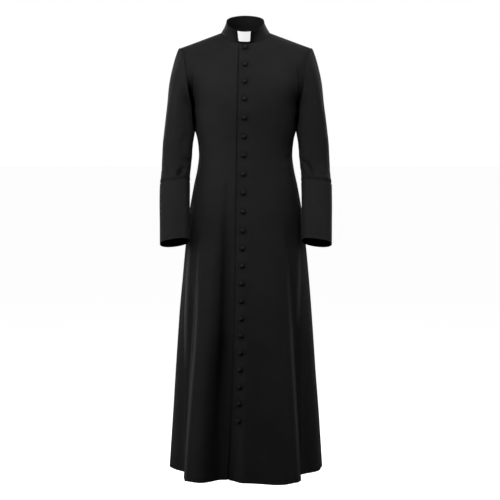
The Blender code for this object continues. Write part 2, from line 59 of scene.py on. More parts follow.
NECK_HALF_WIDTH = 0.078
NECK_SIDE_Y = 0.002
NECK_SIDE_Z = -0.008
NECK_FRONT_REACH = 0.080
NECK_FRONT_DROP = 0.037
NECK_BACK_REACH = 0.071
NECK_BACK_RISE = 0.020
NECK_SHARE = 0.45

SHOULDER_TIP = (0.209, 0.006, -0.0568)
SHOULDER_SLOPE = 0.374
SHOULDER_SAG = 0.03
ARMHOLE_REACH = 0.50
CUT_START_SHARE = 0.30
ACROSS_POWER = 1.5
CENTRE_FALL_POWER = 1.5
SHOULDER_FALL_POWER = 2.0

# z, half width, front, back
SECTIONS = np.array((
    (-1.436, 0.2440, 0.208, 0.230),
    (-1.250, 0.2336, 0.196, 0.214),
    (-1.050, 0.2226, 0.182, 0.197),
    (-0.850, 0.2094, 0.168, 0.178),
    (-0.700, 0.1960, 0.154, 0.160),
    (-0.600, 0.1850, 0.144, 0.144),
    (-0.500, 0.1678, 0.131, 0.124),
    (-0.440, 0.1552, 0.125, 0.111),
    (-0.400, 0.1510, 0.122, 0.106),
    (-0.360, 0.1540, 0.121, 0.106),
    (-0.320, 0.1620, 0.122, 0.110),
    (-0.285, 0.1675, 0.125, 0.115),
    (-0.250, 0.1712, 0.127, 0.120),
    (-0.200, 0.1810, 0.127, 0.123),
    (-0.158, 0.1850, 0.125, 0.123),
    (-0.110, 0.1920, 0.120, 0.119),
    (-0.069, 0.2010, 0.111, 0.110),
    (-0.058, 0.2090, 0.106, 0.105),
))
DRIFT_TOP_Z = -0.60
HEM_DRIFT = 0.055

# Folds as on the solids. edge is how sharply the crest is pressed, 0 to 1.
HIP_Z = -0.80
FOLD_TERMS = "hip_angle hem_angle top hip_depth hem_depth front_span back_span edge"
Fold = namedtuple("Fold", FOLD_TERMS, defaults=(0.0,))
FOLDS = (
    Fold(-11, -13, -0.50, -0.012, -0.050, 13, 18),
    Fold(-34, -33, -0.60, 0.001, 0.012, 12, 14),
    Fold(-44.4, -46.2, -0.58, 0.008, 0.019, 20, 9, 1.0),
    Fold(-54, -60, -0.60, -0.003, -0.034, 8, 12),
    Fold(-56, -72, -0.60, -0.005, -0.036, 14, 22),
    Fold(-65, -62, -0.58, 0.005, 0.000, 8, 14, 0.8),
    Fold(24, 26, -0.62, 0.005, 0.024, 20, 13),
    Fold(37.2, 38.4, -0.60, 0.008, 0.016, 12, 8, 1.0),
    Fold(46, 50.6, -0.60, -0.003, -0.034, 7, 12),
    Fold(49, 61, -0.60, -0.005, -0.046, 12, 26),
    Fold(58, 55, -0.58, 0.005, 0.000, 8, 14, 0.8),
    Fold(-104, -104, -0.60, 0.003, 0.014, 18, 18),
    Fold(102, 104, -0.60, 0.003, 0.014, 18, 18),
    Fold(-126, -129, -0.56, -0.005, -0.026, 14, 15),
    Fold(-150, -152, -0.60, 0.004, 0.020, 14, 14, 0.3),
    Fold(177, 178, -0.52, -0.006, -0.024, 17, 15),
    Fold(152, 155, -0.58, 0.004, 0.018, 13, 14, 0.3),
    Fold(128, 132, -0.60, -0.004, -0.024, 15, 13),
)

LAP_EDGE = np.array((
    (-1.436, -0.0507),
    (-1.170, -0.0385),
    (-0.855, -0.0314),
    (-0.540, -0.0286),
    (-0.045, -0.0198),
))
BUTTON_LINE = np.array((
    (-1.436, -0.0240),
    (-1.238, -0.0190),
    (-0.915, -0.0118),
    (-0.400, -0.0055),
    (-0.045, -0.0009),
))
UNDERLAP_X = 0.0186
UNDER_EDGE = np.array(((HEM_Z, UNDERLAP_X), (0.0, UNDERLAP_X)))
FRONT_LINES_SPAN = 25.0  # degrees within which every line down the front lies

# z, inner, outer, depth, centre y, pitch, roll
ARM_RINGS = np.array((
    (-0.679, 0.1815, 0.2710, 0.102, -0.092, 18, 8),
    (-0.610, 0.1815, 0.2722, 0.104, -0.069, 18, 8),
    (-0.545, 0.1818, 0.2736, 0.107, -0.046, 17, 7),
    (-0.487, 0.1812, 0.2738, 0.111, -0.026, 16, 5),
    (-0.441, 0.1772, 0.2710, 0.117, -0.010, 12, 0),
    (-0.403, 0.1733, 0.2690, 0.122, -0.004, 8, 0),
    (-0.365, 0.1704, 0.2671, 0.127, -0.001, 5, 0),
    (-0.326, 0.1652, 0.2630, 0.131, 0.001, 2, 0),
    (-0.276, 0.1694, 0.2575, 0.134, 0.002, 0, 0),
))
WRIST_Z = ARM_RINGS[0, 0]
ARM_TOP_Z = ARM_RINGS[-1, 0]
CUFF_TOP_Z = -0.4935
CAP_RISE = 0.55
CAP_LEAN = 0.12
CAP_TURN = 0.022
# The sleeve leaves the armhole sideways, leaning out at front and back, and in at top and bottom.
CAP_FLARE = 0.40
CAP_DROOP = 0.36
CAP_REACH = (0.20, 0.40)  # share of the turn at the bottom, and what it gains by halfway up
FRONT_ARM_SEAM = -54.0
BACK_ARM_SEAM = 198.0

COLLAR_HALF_WIDTH = 0.0609
COLLAR_REACH = 0.0615
COLLAR_CENTRE_Y = -0.005
COLLAR_FRONT_Z = -0.0047
COLLAR_TILT = 0.475
COLLAR_FLARE_POWER = 1.5
COLLAR_GAP_TOP = (-0.0257, 0.0175)
COLLAR_GAP_BASE = (-0.0208, 0.0142)
COLLAR_SHIFT = -0.0009
COLLAR_SIDE_RISE = 0.0048
COLLAR_BACK_DROP = 0.0022
TAB_TUCK = 0.0030
TAB_INSET = 0.0024
TAB_LOW = 0.165
TAB_HIGH = 0.945
TAB_CORNER = 0.0068

BUTTON_ROWS = np.array(((1, -0.0570), (4, -0.220), (11, -0.637), (16, -0.914), (22, -1.238)))
BUTTON_COUNT = 22
BUTTON_RADIUS = 0.0085
BUTTON_HEIGHT = 0.0078


# ------------------------------------------------------------ small helpers


def mix(a, b, share):
    return a + (b - a) * share


def ease(t):
    t = np.clip(t, 0.0, 1.0)
    return t * t * (3 - 2 * t)


def smooth_value(table, x, column=1):
    """Value at x of a smooth curve through a table's points, with no overshoot."""
    xs, ys = table[:, 0], table[:, column]
    x = np.clip(x, xs[0], xs[-1])
    steps = np.diff(ys) / np.diff(xs)
    slopes = np.zeros(len(xs))
    slopes[0], slopes[-1] = steps[0], steps[-1]
    before, after = steps[:-1], steps[1:]
    level = before * after <= 0.0
    total = np.where(level, 1.0, before + after)
    slopes[1:-1] = np.where(level, 0.0, 2.0 * before * after / total)
    i = np.clip(np.searchsorted(xs, x, side="left") - 1, 0, len(xs) - 2)
    width = xs[i + 1] - xs[i]
    t = (x - xs[i]) / width
    start = ys[i] * (1 + 2 * t) * (1 - t) ** 2 + slopes[i] * width * t * (1 - t) ** 2
    end = ys[i + 1] * t * t * (3 - 2 * t) - slopes[i + 1] * width * t * t * (1 - t)
    return start + end


def rounded(value):
    return np.copysign(np.abs(value) ** PLAN_BEND, value)


def partner(share):
    return np.maximum(0.0, 1.0 - np.abs(share) ** PLAN_POWER) ** (1.0 / PLAN_POWER)


def sind(degrees):
    return np.sin(np.radians(degrees))


def cosd(degrees):
    return np.cos(np.radians(degrees))


def alike(a, b):
    """Two arrays of numbers, spread to the same shape."""
    return np.broadcast_arrays(np.asarray(a, float), np.asarray(b, float))


def points(x, y, z):
    x, y, z = np.broadcast_arrays(x, y, z)
    return np.stack([x, y, z], axis=-1)


def unit(vectors):
    return vectors / np.maximum(np.linalg.norm(vectors, axis=-1, keepdims=True), 1e-12)


def bump(value, centre, width):
    return np.exp(-(((value - centre) / width) ** 2))


def above(value, limit, run):
    """0 up to a limit, easing to 1 a run above it."""
    return ease((value - limit) / run)


def below(value, limit, run):
    """0 down to a limit, easing to 1 a run below it."""
    return ease((limit - value) / run)


def between(value, low, low_run, high, high_run):
    """1 between two limits, easing to 0 at them."""
    return above(value, low, low_run) * below(value, high, high_run)


def wrapped(angle):
    """The same angle between -180 and 180 degrees."""
    return (angle + 180.0) % 360.0 - 180.0


def wave(seed, count, *coords):
    """Smooth, low, repeatable variation of about -1 to 1 over coordinates in radians."""
    rng = np.random.default_rng(seed)
    total = 0.0
    for _ in range(count):
        turns = rng.uniform(-1.0, 1.0, len(coords))
        phase = sum(t * c for t, c in zip(turns, coords)) + rng.uniform(0.0, 6.283)
        total = total + np.sin(phase)
    return total / math.sqrt(count)


def wave_around(seed, count, degrees, reach, height):
    """The same around a ring, which closes on itself."""
    return wave(seed, count, reach * sind(degrees), reach * cosd(degrees), height)


# ------------------------------------------------------------ body surface


def fold_offset(angle, z):
    """How far the folds move the cloth out."""
    total = 0.0
    for fold in FOLDS:
        low = (HIP_Z - z) / (HIP_Z - HEM_Z)
        crest = mix(fold.hip_angle, fold.hem_angle, low)
        away = wrapped(angle - crest) * math.copysign(1.0, fold.hip_angle)
        span = np.where(away < 0, fold.front_span, fold.back_span)
        t = np.clip(np.abs(away) / span, 0.0, 1.0)
        soft = 0.5 * (1.0 + np.cos(math.pi * t))
        sharp = (1.0 - t) ** 2 * (1.0 + 0.5 * t)
        upper = fold.hip_depth * ease((fold.top - z) / (fold.top - HIP_Z))
        depth = np.where(z >= HIP_Z, upper, mix(fold.hip_depth, fold.hem_depth, low))
        depth = np.where(z >= fold.top, 0.0, depth)
        total = total + depth * mix(soft, sharp, fold.edge)
    return total


def skirt_point(angle, z, back):
    turn = np.radians(angle)
    half_width, depth = smooth_value(SECTIONS, z), smooth_value(SECTIONS, z, 3 if back else 2)
    drift = HEM_DRIFT * np.maximum(0.0, (DRIFT_TOP_Z - z) / (DRIFT_TOP_Z - HEM_Z))
    x = half_width * rounded(np.sin(turn))
    reach = depth - drift if back else depth + drift
    y = drift - reach * rounded(np.cos(turn))
    out = unit(points(np.sin(turn) / half_width, -np.cos(turn) / depth, 0.0))
    return points(x, y, z) + out * fold_offset(angle, z)[..., None]


def neckline_point(turn):
    forward = cosd(turn)
    reach = np.where(forward < 0, NECK_BACK_REACH, NECK_FRONT_REACH)
    drop = np.where(forward < 0, NECK_BACK_RISE, NECK_FRONT_DROP)
    x = NECK_HALF_WIDTH * sind(turn)
    return points(x, NECK_SIDE_Y - reach * forward, NECK_SIDE_Z - drop * forward)


def top_line_point(share, back):
    turn = 90.0 * np.minimum(share / NECK_SHARE, 1.0)
    neck = neckline_point(180.0 - turn if back else turn)
    along = np.maximum(0.0, (share - NECK_SHARE) / (1.0 - NECK_SHARE))
    x = mix(NECK_HALF_WIDTH, SHOULDER_TIP[0], along)
    run = x - NECK_HALF_WIDTH
    z = NECK_SIDE_Z - SHOULDER_SLOPE * run + SHOULDER_SAG * run * run
    seam = points(x, mix(NECK_SIDE_Y, SHOULDER_TIP[1], along), z)
    return np.where((share <= NECK_SHARE)[..., None], neck, seam)


def bodice_point(share, rise, back):
    share, rise = alike(share, rise)
    top = top_line_point(share, back)
    lift = 0.5 * (1.0 - np.cos(math.pi * rise))
    armhole_z = mix(UNDERARM_Z, SHOULDER_TIP[2], lift)
    armhole_x = smooth_value(SECTIONS, armhole_z)
    depth = smooth_value(SECTIONS, armhole_z, 3 if back else 2)
    chest_share = rounded(sind(90.0 * share))
    across = mix(chest_share, top[..., 0] / SHOULDER_TIP[0], lift**ACROSS_POWER)
    x = across * armhole_x
    cut = ARMHOLE_REACH * 2.0 * np.sqrt(np.maximum(lift * (1.0 - lift), 0.0))
    chest = partner(x / (armhole_x / partner(cut)))
    power = mix(CENTRE_FALL_POWER, SHOULDER_FALL_POWER, ease(share / NECK_SHARE))
    fall = np.maximum(0.0, 1.0 - lift**power) ** (1.0 / power)
    round_cut = cut * ease((share - CUT_START_SHARE) / (1.0 - CUT_START_SHARE))
    reach = depth * np.sqrt((chest * fall) ** 2 + round_cut**2 * (1.0 - fall**2))
    y = top[..., 1] * (1.0 - fall) + (reach if back else -reach)
    return points(x, y, mix(UNDERARM_Z, top[..., 2], lift))


def body_point(angle, level, back):
    """level is -1 at the hem, 0 at the underarm and 1 at the top edge."""
    angle, level = alike(angle, level)
    lower = skirt_point(angle, mix(UNDERARM_Z, HEM_Z, np.maximum(-level, 0.0)), back)
    share = (180.0 - np.abs(angle)) / 90.0 if back else np.abs(angle) / 90.0
    upper = bodice_point(np.clip(np.abs(share), 0.0, 1.0), np.clip(level, 0.0, 1.0), back)
    upper[..., 0] = np.copysign(upper[..., 0], sind(angle))
    return np.where((level <= 0.0)[..., None], lower, upper)


def front_surface(angle, level):
    return body_point(angle, level, False)


def back_surface(angle, level):
    return body_point(angle, level, True)


def level_of(z):
    return (z - UNDERARM_Z) / (UNDERARM_Z - HEM_Z)


def front_angle_at(line, level):
    """Angle at which a front line crosses each row, found by halving."""
    high = np.full(np.shape(level), FRONT_LINES_SPAN)
    low = -high
    for _ in range(30):
        middle = 0.5 * (low + high)
        p = front_surface(middle, level)
        left = p[..., 0] < smooth_value(line, p[..., 2])
        low, high = np.where(left, middle, low), np.where(left, high, middle)
    return 0.5 * (low + high)


# ------------------------------------------------------------ arm and collar surfaces


def ring_point(angle, z):
    turn = np.radians(angle)
    inner, outer, depth, centre_y, pitch, roll = (
        smooth_value(ARM_RINGS, z, column) for column in range(1, 7)
    )
    across = 0.5 * (outer - inner) * rounded(np.sin(turn))
    forward = 0.5 * depth * rounded(np.cos(turn))
    pitch = np.radians(pitch)
    x = 0.5 * (outer + inner) + across
    y = centre_y - np.cos(pitch) * forward
    return points(x, y, z - np.tan(np.radians(roll)) * across + np.sin(pitch) * forward)


def armhole_point(angle):
    lift = 0.5 * (1.0 + sind(angle))
    rise = np.arccos(np.clip(1.0 - 2.0 * lift, -1.0, 1.0)) / math.pi
    front = bodice_point(np.ones_like(rise), rise, False)
    back = bodice_point(np.ones_like(rise), rise, True)
    return np.where((cosd(angle) < 0.0)[..., None], back, front)


def cap_point(angle, share):
    turn = np.radians(angle)
    start = ring_point(angle, np.full(np.shape(angle), ARM_TOP_Z))
    end = armhole_point(angle)
    rise = CAP_RISE * np.linalg.norm(end - start, axis=-1)
    first = start + points(-CAP_LEAN * rise * np.maximum(0.0, np.sin(turn)), 0.0, rise)
    outward = unit(points(1.0, -CAP_FLARE * np.cos(turn), -CAP_DROOP * np.sin(turn)))
    least, more = CAP_REACH
    reach = CAP_TURN * (least + more * (1.0 + np.sin(turn)))
    second = end + outward * reach[..., None]
    t = np.asarray(share)[..., None]
    s = 1.0 - t
    return start * s**3 + first * 3 * s * s * t + second * 3 * s * t * t + end * t**3


def arm_surface(angle, level):
    """level is -1 at the wrist, 0 at the biceps and 1 at the armhole."""
    angle, level = alike(angle, level)
    lower = ring_point(angle, mix(ARM_TOP_Z, WRIST_Z, np.maximum(-level, 0.0)))
    upper = cap_point(angle, np.clip(level, 0.0, 1.0))
    return np.where((level <= 0.0)[..., None], lower, upper)


def arm_level(z):
    return (z - ARM_TOP_Z) / (ARM_TOP_Z - WRIST_Z)


def collar_surface(turn, height):
    turn, height = alike(turn, height)
    height = np.clip(height, 0.0, 1.0)
    base = neckline_point(turn)
    y = COLLAR_CENTRE_Y - COLLAR_REACH * cosd(turn)
    z = COLLAR_FRONT_Z + COLLAR_TILT * (y - COLLAR_CENTRE_Y + COLLAR_REACH)
    x = COLLAR_SHIFT + COLLAR_HALF_WIDTH * sind(turn)
    forward = cosd(turn)
    z = z + COLLAR_SIDE_RISE * (1.0 - forward**2) ** 2
    z = z - COLLAR_BACK_DROP * np.maximum(0.0, -forward) ** 3
    flare = (1.0 - height) ** COLLAR_FLARE_POWER
    return points(
        mix(x, base[..., 0], flare), mix(y, base[..., 1], flare), mix(base[..., 2], z, height)
    )


def collar_turn_at(x, height):
    flare = (1.0 - height) ** COLLAR_FLARE_POWER
    return np.degrees(np.arcsin(x / mix(COLLAR_HALF_WIDTH, NECK_HALF_WIDTH, flare)))


# ------------------------------------------------------------ creases

# A row holds a crease: the points of (angle, height) that it runs through, its width in
# metres, its depth, which is positive for a ridge, and how much it leans over, if it does.
Crease = namedtuple("Crease", "path width depth skew", defaults=(0.0,))
CREASE_ENDS = (0.03, 0.97)
CREASE_FULLNESS = 0.7


def crease_offset(rows, angle, height, per_degree):
    """How far the creases move the cloth out. per_degree turns an angle into metres."""
    total = np.zeros(np.broadcast(angle, height).shape)
    for crease in (Crease(*row) for row in rows):
        path = np.array(crease.path, float)
        px, py = path[:, 0] * per_degree, path[:, 1]
        x, y = angle * per_degree, height
        lengths = np.hypot(np.diff(px), np.diff(py))
        whole = lengths.sum()
        best = np.full(total.shape, 1e9)
        side, along = np.zeros(total.shape), np.zeros(total.shape)
        start = 0.0
        for k, length in enumerate(lengths):
            ux, uy = (px[k + 1] - px[k]) / length, (py[k + 1] - py[k]) / length
            s = np.clip((x - px[k]) * ux + (y - py[k]) * uy, 0.0, length)
            dx, dy = x - px[k] - s * ux, y - py[k] - s * uy
            away = np.hypot(dx, dy)
            nearer = away < best
            best = np.where(nearer, away, best)
            side = np.where(nearer, ux * dy - uy * dx, side)
            along = np.where(nearer, (start + s) / whole, along)
            start += length
        shape = bump(best, 0.0, crease.width) * (1.0 + crease.skew * np.tanh(side / crease.width))
        body = np.sin(np.clip(along, *CREASE_ENDS) * math.pi) ** CREASE_FULLNESS
        total += crease.depth * shape * body
    return total


BODY_CREASES = (
    # the deep hanging fold beside the buttons, with its rounder left flank
    (((-17.8, -0.50), (-17.1, -0.70), (-16.9, -0.86),
      (-17.4, -1.02), (-18.7, -1.18), (-19.6, -1.56)), 0.0090, -0.0125),
    (((-22, -1.02), (-23, -1.25), (-24, -1.60)), 0.020, -0.0075),
    (((-28, -0.51), (-28, -0.80), (-29, -1.1), (-32, -1.42)), 0.017, 0.0034),
    (((6.0, -0.51), (6.6, -0.66), (7.2, -0.84)), 0.009, -0.0020),
    (((15, -0.56), (15, -0.80), (14, -1.02)), 0.016, 0.0016),
    # soft waist creases, stronger at the sides and on the back
    (((-88, -0.372), (-64, -0.384), (-44, -0.379)), 0.009, -0.0016, 0.2),
    (((-84, -0.412), (-60, -0.420), (-40, -0.410)), 0.010, -0.0013, -0.2),
    (((88, -0.380), (66, -0.372), (42, -0.384)), 0.009, -0.0017, 0.2),
    (((86, -0.418), (62, -0.410), (40, -0.424)), 0.011, -0.0014),
    (((-92, -0.392), (-112, -0.398), (-140, -0.386)), 0.009, -0.0022, 0.2),
    (((92, -0.402), (116, -0.392), (146, -0.400)), 0.009, -0.0020, -0.2),
    (((-168, -0.372), (-150, -0.378), (-128, -0.366)), 0.010, -0.0018),
    (((170, -0.384), (150, -0.376), (126, -0.384)), 0.010, -0.0017, 0.2),
    (((-172, -0.430), (-146, -0.424), (-120, -0.436)), 0.012, -0.0014),
    (((168, -0.436), (144, -0.430), (122, -0.438)), 0.012, -0.0014),
    # drag lines from the underarms
    (((-86, -0.262), (-72, -0.236), (-60, -0.196)), 0.012, -0.0016, 0.3),
    (((86, -0.264), (71, -0.238), (58, -0.200)), 0.012, -0.0018, -0.3),
    (((-88, -0.300), (-74, -0.286), (-58, -0.262)), 0.012, -0.0010, 0.3),
    (((88, -0.302), (73, -0.288), (56, -0.266)), 0.012, -0.0012, -0.3),
    (((-94, -0.262), (-108, -0.230), (-118, -0.180)), 0.012, -0.0024, 0.3),
    (((94, -0.262), (109, -0.232), (120, -0.184)), 0.012, -0.0024, -0.3),
    (((-96, -0.302), (-114, -0.280), (-130, -0.240)), 0.013, -0.0015, 0.3),
    (((96, -0.304), (115, -0.282), (132, -0.244)), 0.013, -0.0015, -0.3),
)
# Each arm has its own, with angles that start from the front and grow outwards.
LEFT_ARM_CREASES = (
    (((-46, -0.444), (-33, -0.465), (-28, -0.485)), 0.0056, 0.0034, 0.2),
    (((-46, -0.426), (-29, -0.436), (-19, -0.454), (-14, -0.472), (-13, -0.484)), 0.0046, -0.0040),
    (((12, -0.448), (25, -0.464), (38, -0.480)), 0.0070, 0.0024, 0.2),
    (((-88, -0.418), (-66, -0.424), (-48, -0.428)), 0.0075, -0.0026, 0.2),
    (((-80, -0.400), (-56, -0.414), (-30, -0.412)), 0.0090, 0.0020),
    (((60, -0.438), (86, -0.452), (112, -0.452)), 0.0090, -0.0004),
    (((-88, -0.450), (-62, -0.456), (-50, -0.462)), 0.0070, -0.0030),
    (((196, -0.420), (226, -0.440), (256, -0.428)), 0.0080, -0.0034, 0.2),
    (((206, -0.452), (232, -0.462), (262, -0.454)), 0.0075, -0.0036),
    (((214, -0.384), (238, -0.400), (262, -0.392)), 0.0100, -0.0024),
    (((120, -0.440), (150, -0.452), (176, -0.446)), 0.0090, -0.0018),
    (((-40, -0.330), (-26, -0.362), (-22, -0.400)), 0.0110, -0.0012, 0.3),
    (((150, -0.300), (160, -0.340), (166, -0.380)), 0.0110, -0.0014, 0.3),
)
RIGHT_ARM_CREASES = (
    (((-31, -0.450), (-20, -0.465), (-15, -0.476), (-14, -0.487)), 0.0074, -0.0048),
    (((-41, -0.462), (-33, -0.475), (-29, -0.487)), 0.0050, 0.0034, -0.2),
    (((10, -0.452), (-4, -0.470), (-12, -0.481)), 0.0055, 0.0026),
    (((34, -0.450), (22, -0.466), (18, -0.480)), 0.0065, -0.0020),
    (((-60, -0.420), (-40, -0.430), (-18, -0.424)), 0.0085, -0.0026, 0.2),
    (((-78, -0.446), (-62, -0.458), (-52, -0.458)), 0.0070, -0.0030),
    (((60, -0.432), (84, -0.446), (108, -0.444)), 0.0090, -0.0004),
    (((198, -0.414), (228, -0.434), (258, -0.424)), 0.0085, -0.0032, 0.2),
    (((204, -0.448), (234, -0.460), (262, -0.452)), 0.0075, -0.0036),
    (((212, -0.380), (240, -0.396), (264, -0.386)), 0.0100, -0.0024),
    (((122, -0.446), (148, -0.456), (174, -0.448)), 0.0090, -0.0018),
    (((-34, -0.324), (-22, -0.360), (-20, -0.396)), 0.0110, -0.0012, 0.3),
    (((148, -0.306), (158, -0.344), (164, -0.384)), 0.0110, -0.0014, 0.3),
)
BODY_PER_DEGREE = 0.0027
ARM_PER_DEGREE = 0.0010

# Painted shade by the elbows, where the creases keep the light out: their depth is how dark the paint is,
# and they don't move the cloth.
LEFT_ELBOW_PAINTED_SHADE = (
    (((-46, -0.426), (-29, -0.436), (-19, -0.454), (-14, -0.472), (-13, -0.484)), 0.0036, -0.20),
)
RIGHT_ELBOW_PAINTED_SHADE = (
    (((-30, -0.451), (-21, -0.466), (-16, -0.477), (-15, -0.487)), 0.0086, -0.36),
    (((-54, -0.462), (-62, -0.480)), 0.0070, -0.36),
)
# Lines of iron shine and painted highlight along the pressed pleats, raised a little by their depth,
# which also lightens the colour there; lines of negative depth paint shade and sink the cloth a little.
SHINE_AND_PAINTED_SHADING_LINES = (
    (((-48.2, -0.72), (-44.4, -0.80), (-42.6, -0.90), (-42.6, -1.02),
      (-44.0, -1.14), (-45.6, -1.31), (-46.4, -1.56)), 0.0036, 1.75),
    (((-68.5, -0.56), (-65.0, -0.70), (-64.6, -0.82), (-65.6, -0.94), (-67.0, -1.08)), 0.0056, 2.1),
    (((40.0, -0.70), (38.0, -0.82), (38.0, -1.00),
      (38.6, -1.18), (39.0, -1.31), (38.4, -1.46)), 0.0028, 1.3),
    (((60, -0.69), (57.0, -0.76), (55.2, -0.84), (54.6, -0.94)), 0.0046, 1.4),
    (((-150, -0.72), (-151, -1.05), (-152, -1.56)), 0.0040, 0.5),
    (((152, -0.70), (153, -1.05), (155, -1.56)), 0.0040, 0.5),
    (((-104, -0.74), (-104, -1.50)), 0.0044, 0.4),
    (((102, -0.76), (104, -1.50)), 0.0044, 0.4),
    # broad painted light down the hollows at the skirt's sides
    (((-58, -0.92), (-60, -1.10), (-62, -1.30), (-63, -1.60)), 0.0160, 0.40),
    (((47, -0.92), (49, -1.05), (50, -1.20), (51, -1.40)), 0.0140, 0.56),
    # painted light on the upper chest at the wearer's left, and painted shade below it
    (((38, -0.07), (44, -0.12), (48, -0.19)), 0.0340, 0.09),
    (((40, -0.26), (44, -0.33), (46, -0.40)), 0.0300, -0.07),
    # painted shade at the bottom of the fold beside the buttons
    (((-18.6, -0.60), (-18.2, -0.80), (-18.8, -1.00), (-20.2, -1.20)), 0.0120, -0.34),
    (((-19.6, -0.92), (-20.6, -1.14), (-21.6, -1.36), (-22.0, -1.80)), 0.0200, -0.24),
)
SHINE_RISE = 0.0013


# How much further apart the solids' arm and side are than the cloth is, by height.
ARM_GAP = np.array((
    (-0.345, 0.0), (-0.331, 0.0012), (-0.319, 0.0044),
    (-0.285, 0.0028), (-0.245, 0.0018), (-0.210, 0.0),
))
BODY_SHARE = 0.4  # of the gap that the body's side closes; the sleeve closes the rest
SIDE_SPAN = 9.0
BODY_SWAY = 0.0007
SWAY_TOP_Z = -0.35
SWAY_RUN = 0.9
# Under the arm the cloth sinks in, some degrees in front of the side seam and behind it.
HOLLOW = 0.0085
HOLLOW_PLACE = (12.0, 5.5)
HOLLOW_STRETCH = (-0.34, 0.07, -0.09, 0.08)
# The skirt stands out from the solids, from a height down over a run, around each side.
RIGHT_SPREAD = 0.0020
RIGHT_SPREAD_START = (-0.78, 0.15)
LEFT_SPREAD = 0.0028
LEFT_SPREAD_START = (-1.08, 0.20)
SPREAD_SPAN = 40.0


def body_detail(angle, z):
    """Creases and the low unevenness of hanging cloth on the body."""
    offset = crease_offset(BODY_CREASES, angle, z, BODY_PER_DEGREE)
    low = np.clip((SWAY_TOP_Z - z) / SWAY_RUN, 0.0, 1.0)
    sway = wave_around(11, 5, angle, 6.0, z * 3.0)
    from_side = np.abs(np.abs(angle) - 90.0)
    closing = BODY_SHARE * smooth_value(ARM_GAP, z) * bump(from_side, 0.0, SIDE_SPAN)
    hollow = HOLLOW * between(z, *HOLLOW_STRETCH) * bump(from_side, *HOLLOW_PLACE)
    right = RIGHT_SPREAD * below(z, *RIGHT_SPREAD_START)
    left = LEFT_SPREAD * below(z, *LEFT_SPREAD_START)
    spread = np.where(angle < 0.0, right, left) * bump(from_side, 0.0, SPREAD_SPAN)
    return offset + BODY_SWAY * sway * (0.4 + 1.6 * low) + closing - hollow + spread


# How far the hem hangs below its plain line, by angle.
HEM_DROP = np.array((
    (-80, 0.0), (-62, -0.0012), (-46, 0.0026), (-34, 0.0022), (-20, -0.0004), (-8, -0.0020),
    (0, -0.0022), (10, 0.0003), (20, 0.0024), (42, 0.0026), (56, 0.0012), (72, 0.0),
))
HEM_DROP_RUN = 0.08


def hem_drop(angle, z):
    return smooth_value(HEM_DROP, angle) * below(z, HEM_Z + HEM_DROP_RUN, HEM_DROP_RUN)


# What differs between the arms: how far the sleeve and the cuff stand out, the painted shade on
# the side towards the body and the painted light on the front of the sleeve's head.
Arm = namedtuple("Arm", "word side creases dents spread cuff_spread inner_shade head_light")
ARMS = (
    Arm("left", 1, LEFT_ARM_CREASES, LEFT_ELBOW_PAINTED_SHADE, 0.0016, 0.0022, 0.70, 0.35),
    Arm("right", -1, RIGHT_ARM_CREASES, RIGHT_ELBOW_PAINTED_SHADE, 0.0003, 0.0003, 0.82, 0.12),
)
ARM_SWAY = 0.0006
ARM_CREASE_SCALE = 1.5
FULLNESS = 0.0034
FULLNESS_PLACE = (-0.170, 0.055)
CREVICE = 0.0060
CREVICE_PLACE = (-72.0, 12.0)
CREVICE_STRETCH = (-0.335, 0.05, -0.12, 0.06)
TUCK = 0.0020
TUCK_RIDGE = (0.0110, 0.0060)
TUCK_GROOVE = (0.0005, 0.0040)
ARM_SPREAD_START = (-0.20, 0.1)
FLAT_FRONT_START = (-0.225, 0.04)
FLAT_CORNERS = ((0.0066, (-47.0, 19.0)), (0.0030, (45.0, 19.0)))
HEAD_START = (0.75, 0.25)
CUFF_CLEAR = (0.004, 0.014)


def flat_front(turned):
    """The front corners of the sleeves and cuffs, which are flatter than their solids."""
    inner, outer = (depth * bump(turned, *place) for depth, place in FLAT_CORNERS)
    return inner + outer


def arm_detail(arm, angle, z, level):
    """Creases, fullness and the tuck above the cuff."""
    turned = wrapped(angle)
    offset = crease_offset(arm.creases, turned, z, ARM_PER_DEGREE)
    offset = offset + crease_offset(arm.creases, turned + 360.0, z, ARM_PER_DEGREE)
    over_cuff = z - CUFF_TOP_Z
    under_head = 1.0 - above(level, *HEAD_START)
    fade = above(over_cuff, *CUFF_CLEAR) * under_head
    sway = wave_around(23, 5, angle, 3.0, z * 22.0)
    outer, inner = np.maximum(0.0, sind(angle)) ** 2, np.maximum(0.0, -sind(angle)) ** 6
    fullness = FULLNESS * outer * bump(z, *FULLNESS_PLACE)
    crevice = CREVICE * bump(turned, *CREVICE_PLACE) * between(z, *CREVICE_STRETCH)
    hung = ARM_CREASE_SCALE * offset + ARM_SWAY * sway + fullness - crevice
    square = flat_front(turned) * below(z, *FLAT_FRONT_START) * under_head
    closing = (1.0 - BODY_SHARE) * smooth_value(ARM_GAP, z) * inner
    tuck = TUCK * bump(over_cuff, *TUCK_RIDGE) - TUCK * bump(over_cuff, *TUCK_GROOVE)
    spread = arm.spread * outer * below(z, *ARM_SPREAD_START)
    return hung * fade + square + closing + tuck + spread


LEFT_SHADE_TOP = -0.150
RIGHT_SHADE_TOP = -0.128
SHADE_TOP_RUN = 0.07
SHADE_LOW = (-0.440, 0.13)


def under_arm_shade(side, z):
    """How much painted shade stands, at a height, for the light that the arm and the body keep from each
    other.
    """
    top = np.where(side > 0, LEFT_SHADE_TOP, RIGHT_SHADE_TOP)
    return above(z, *SHADE_LOW) * below(z, top, SHADE_TOP_RUN)


def normals_of(surface, angle, level):
    along = surface(angle + 0.3, level) - surface(angle - 0.3, level)
    up = surface(angle, level + 0.004) - surface(angle, level - 0.004)
    return unit(np.cross(along, up))


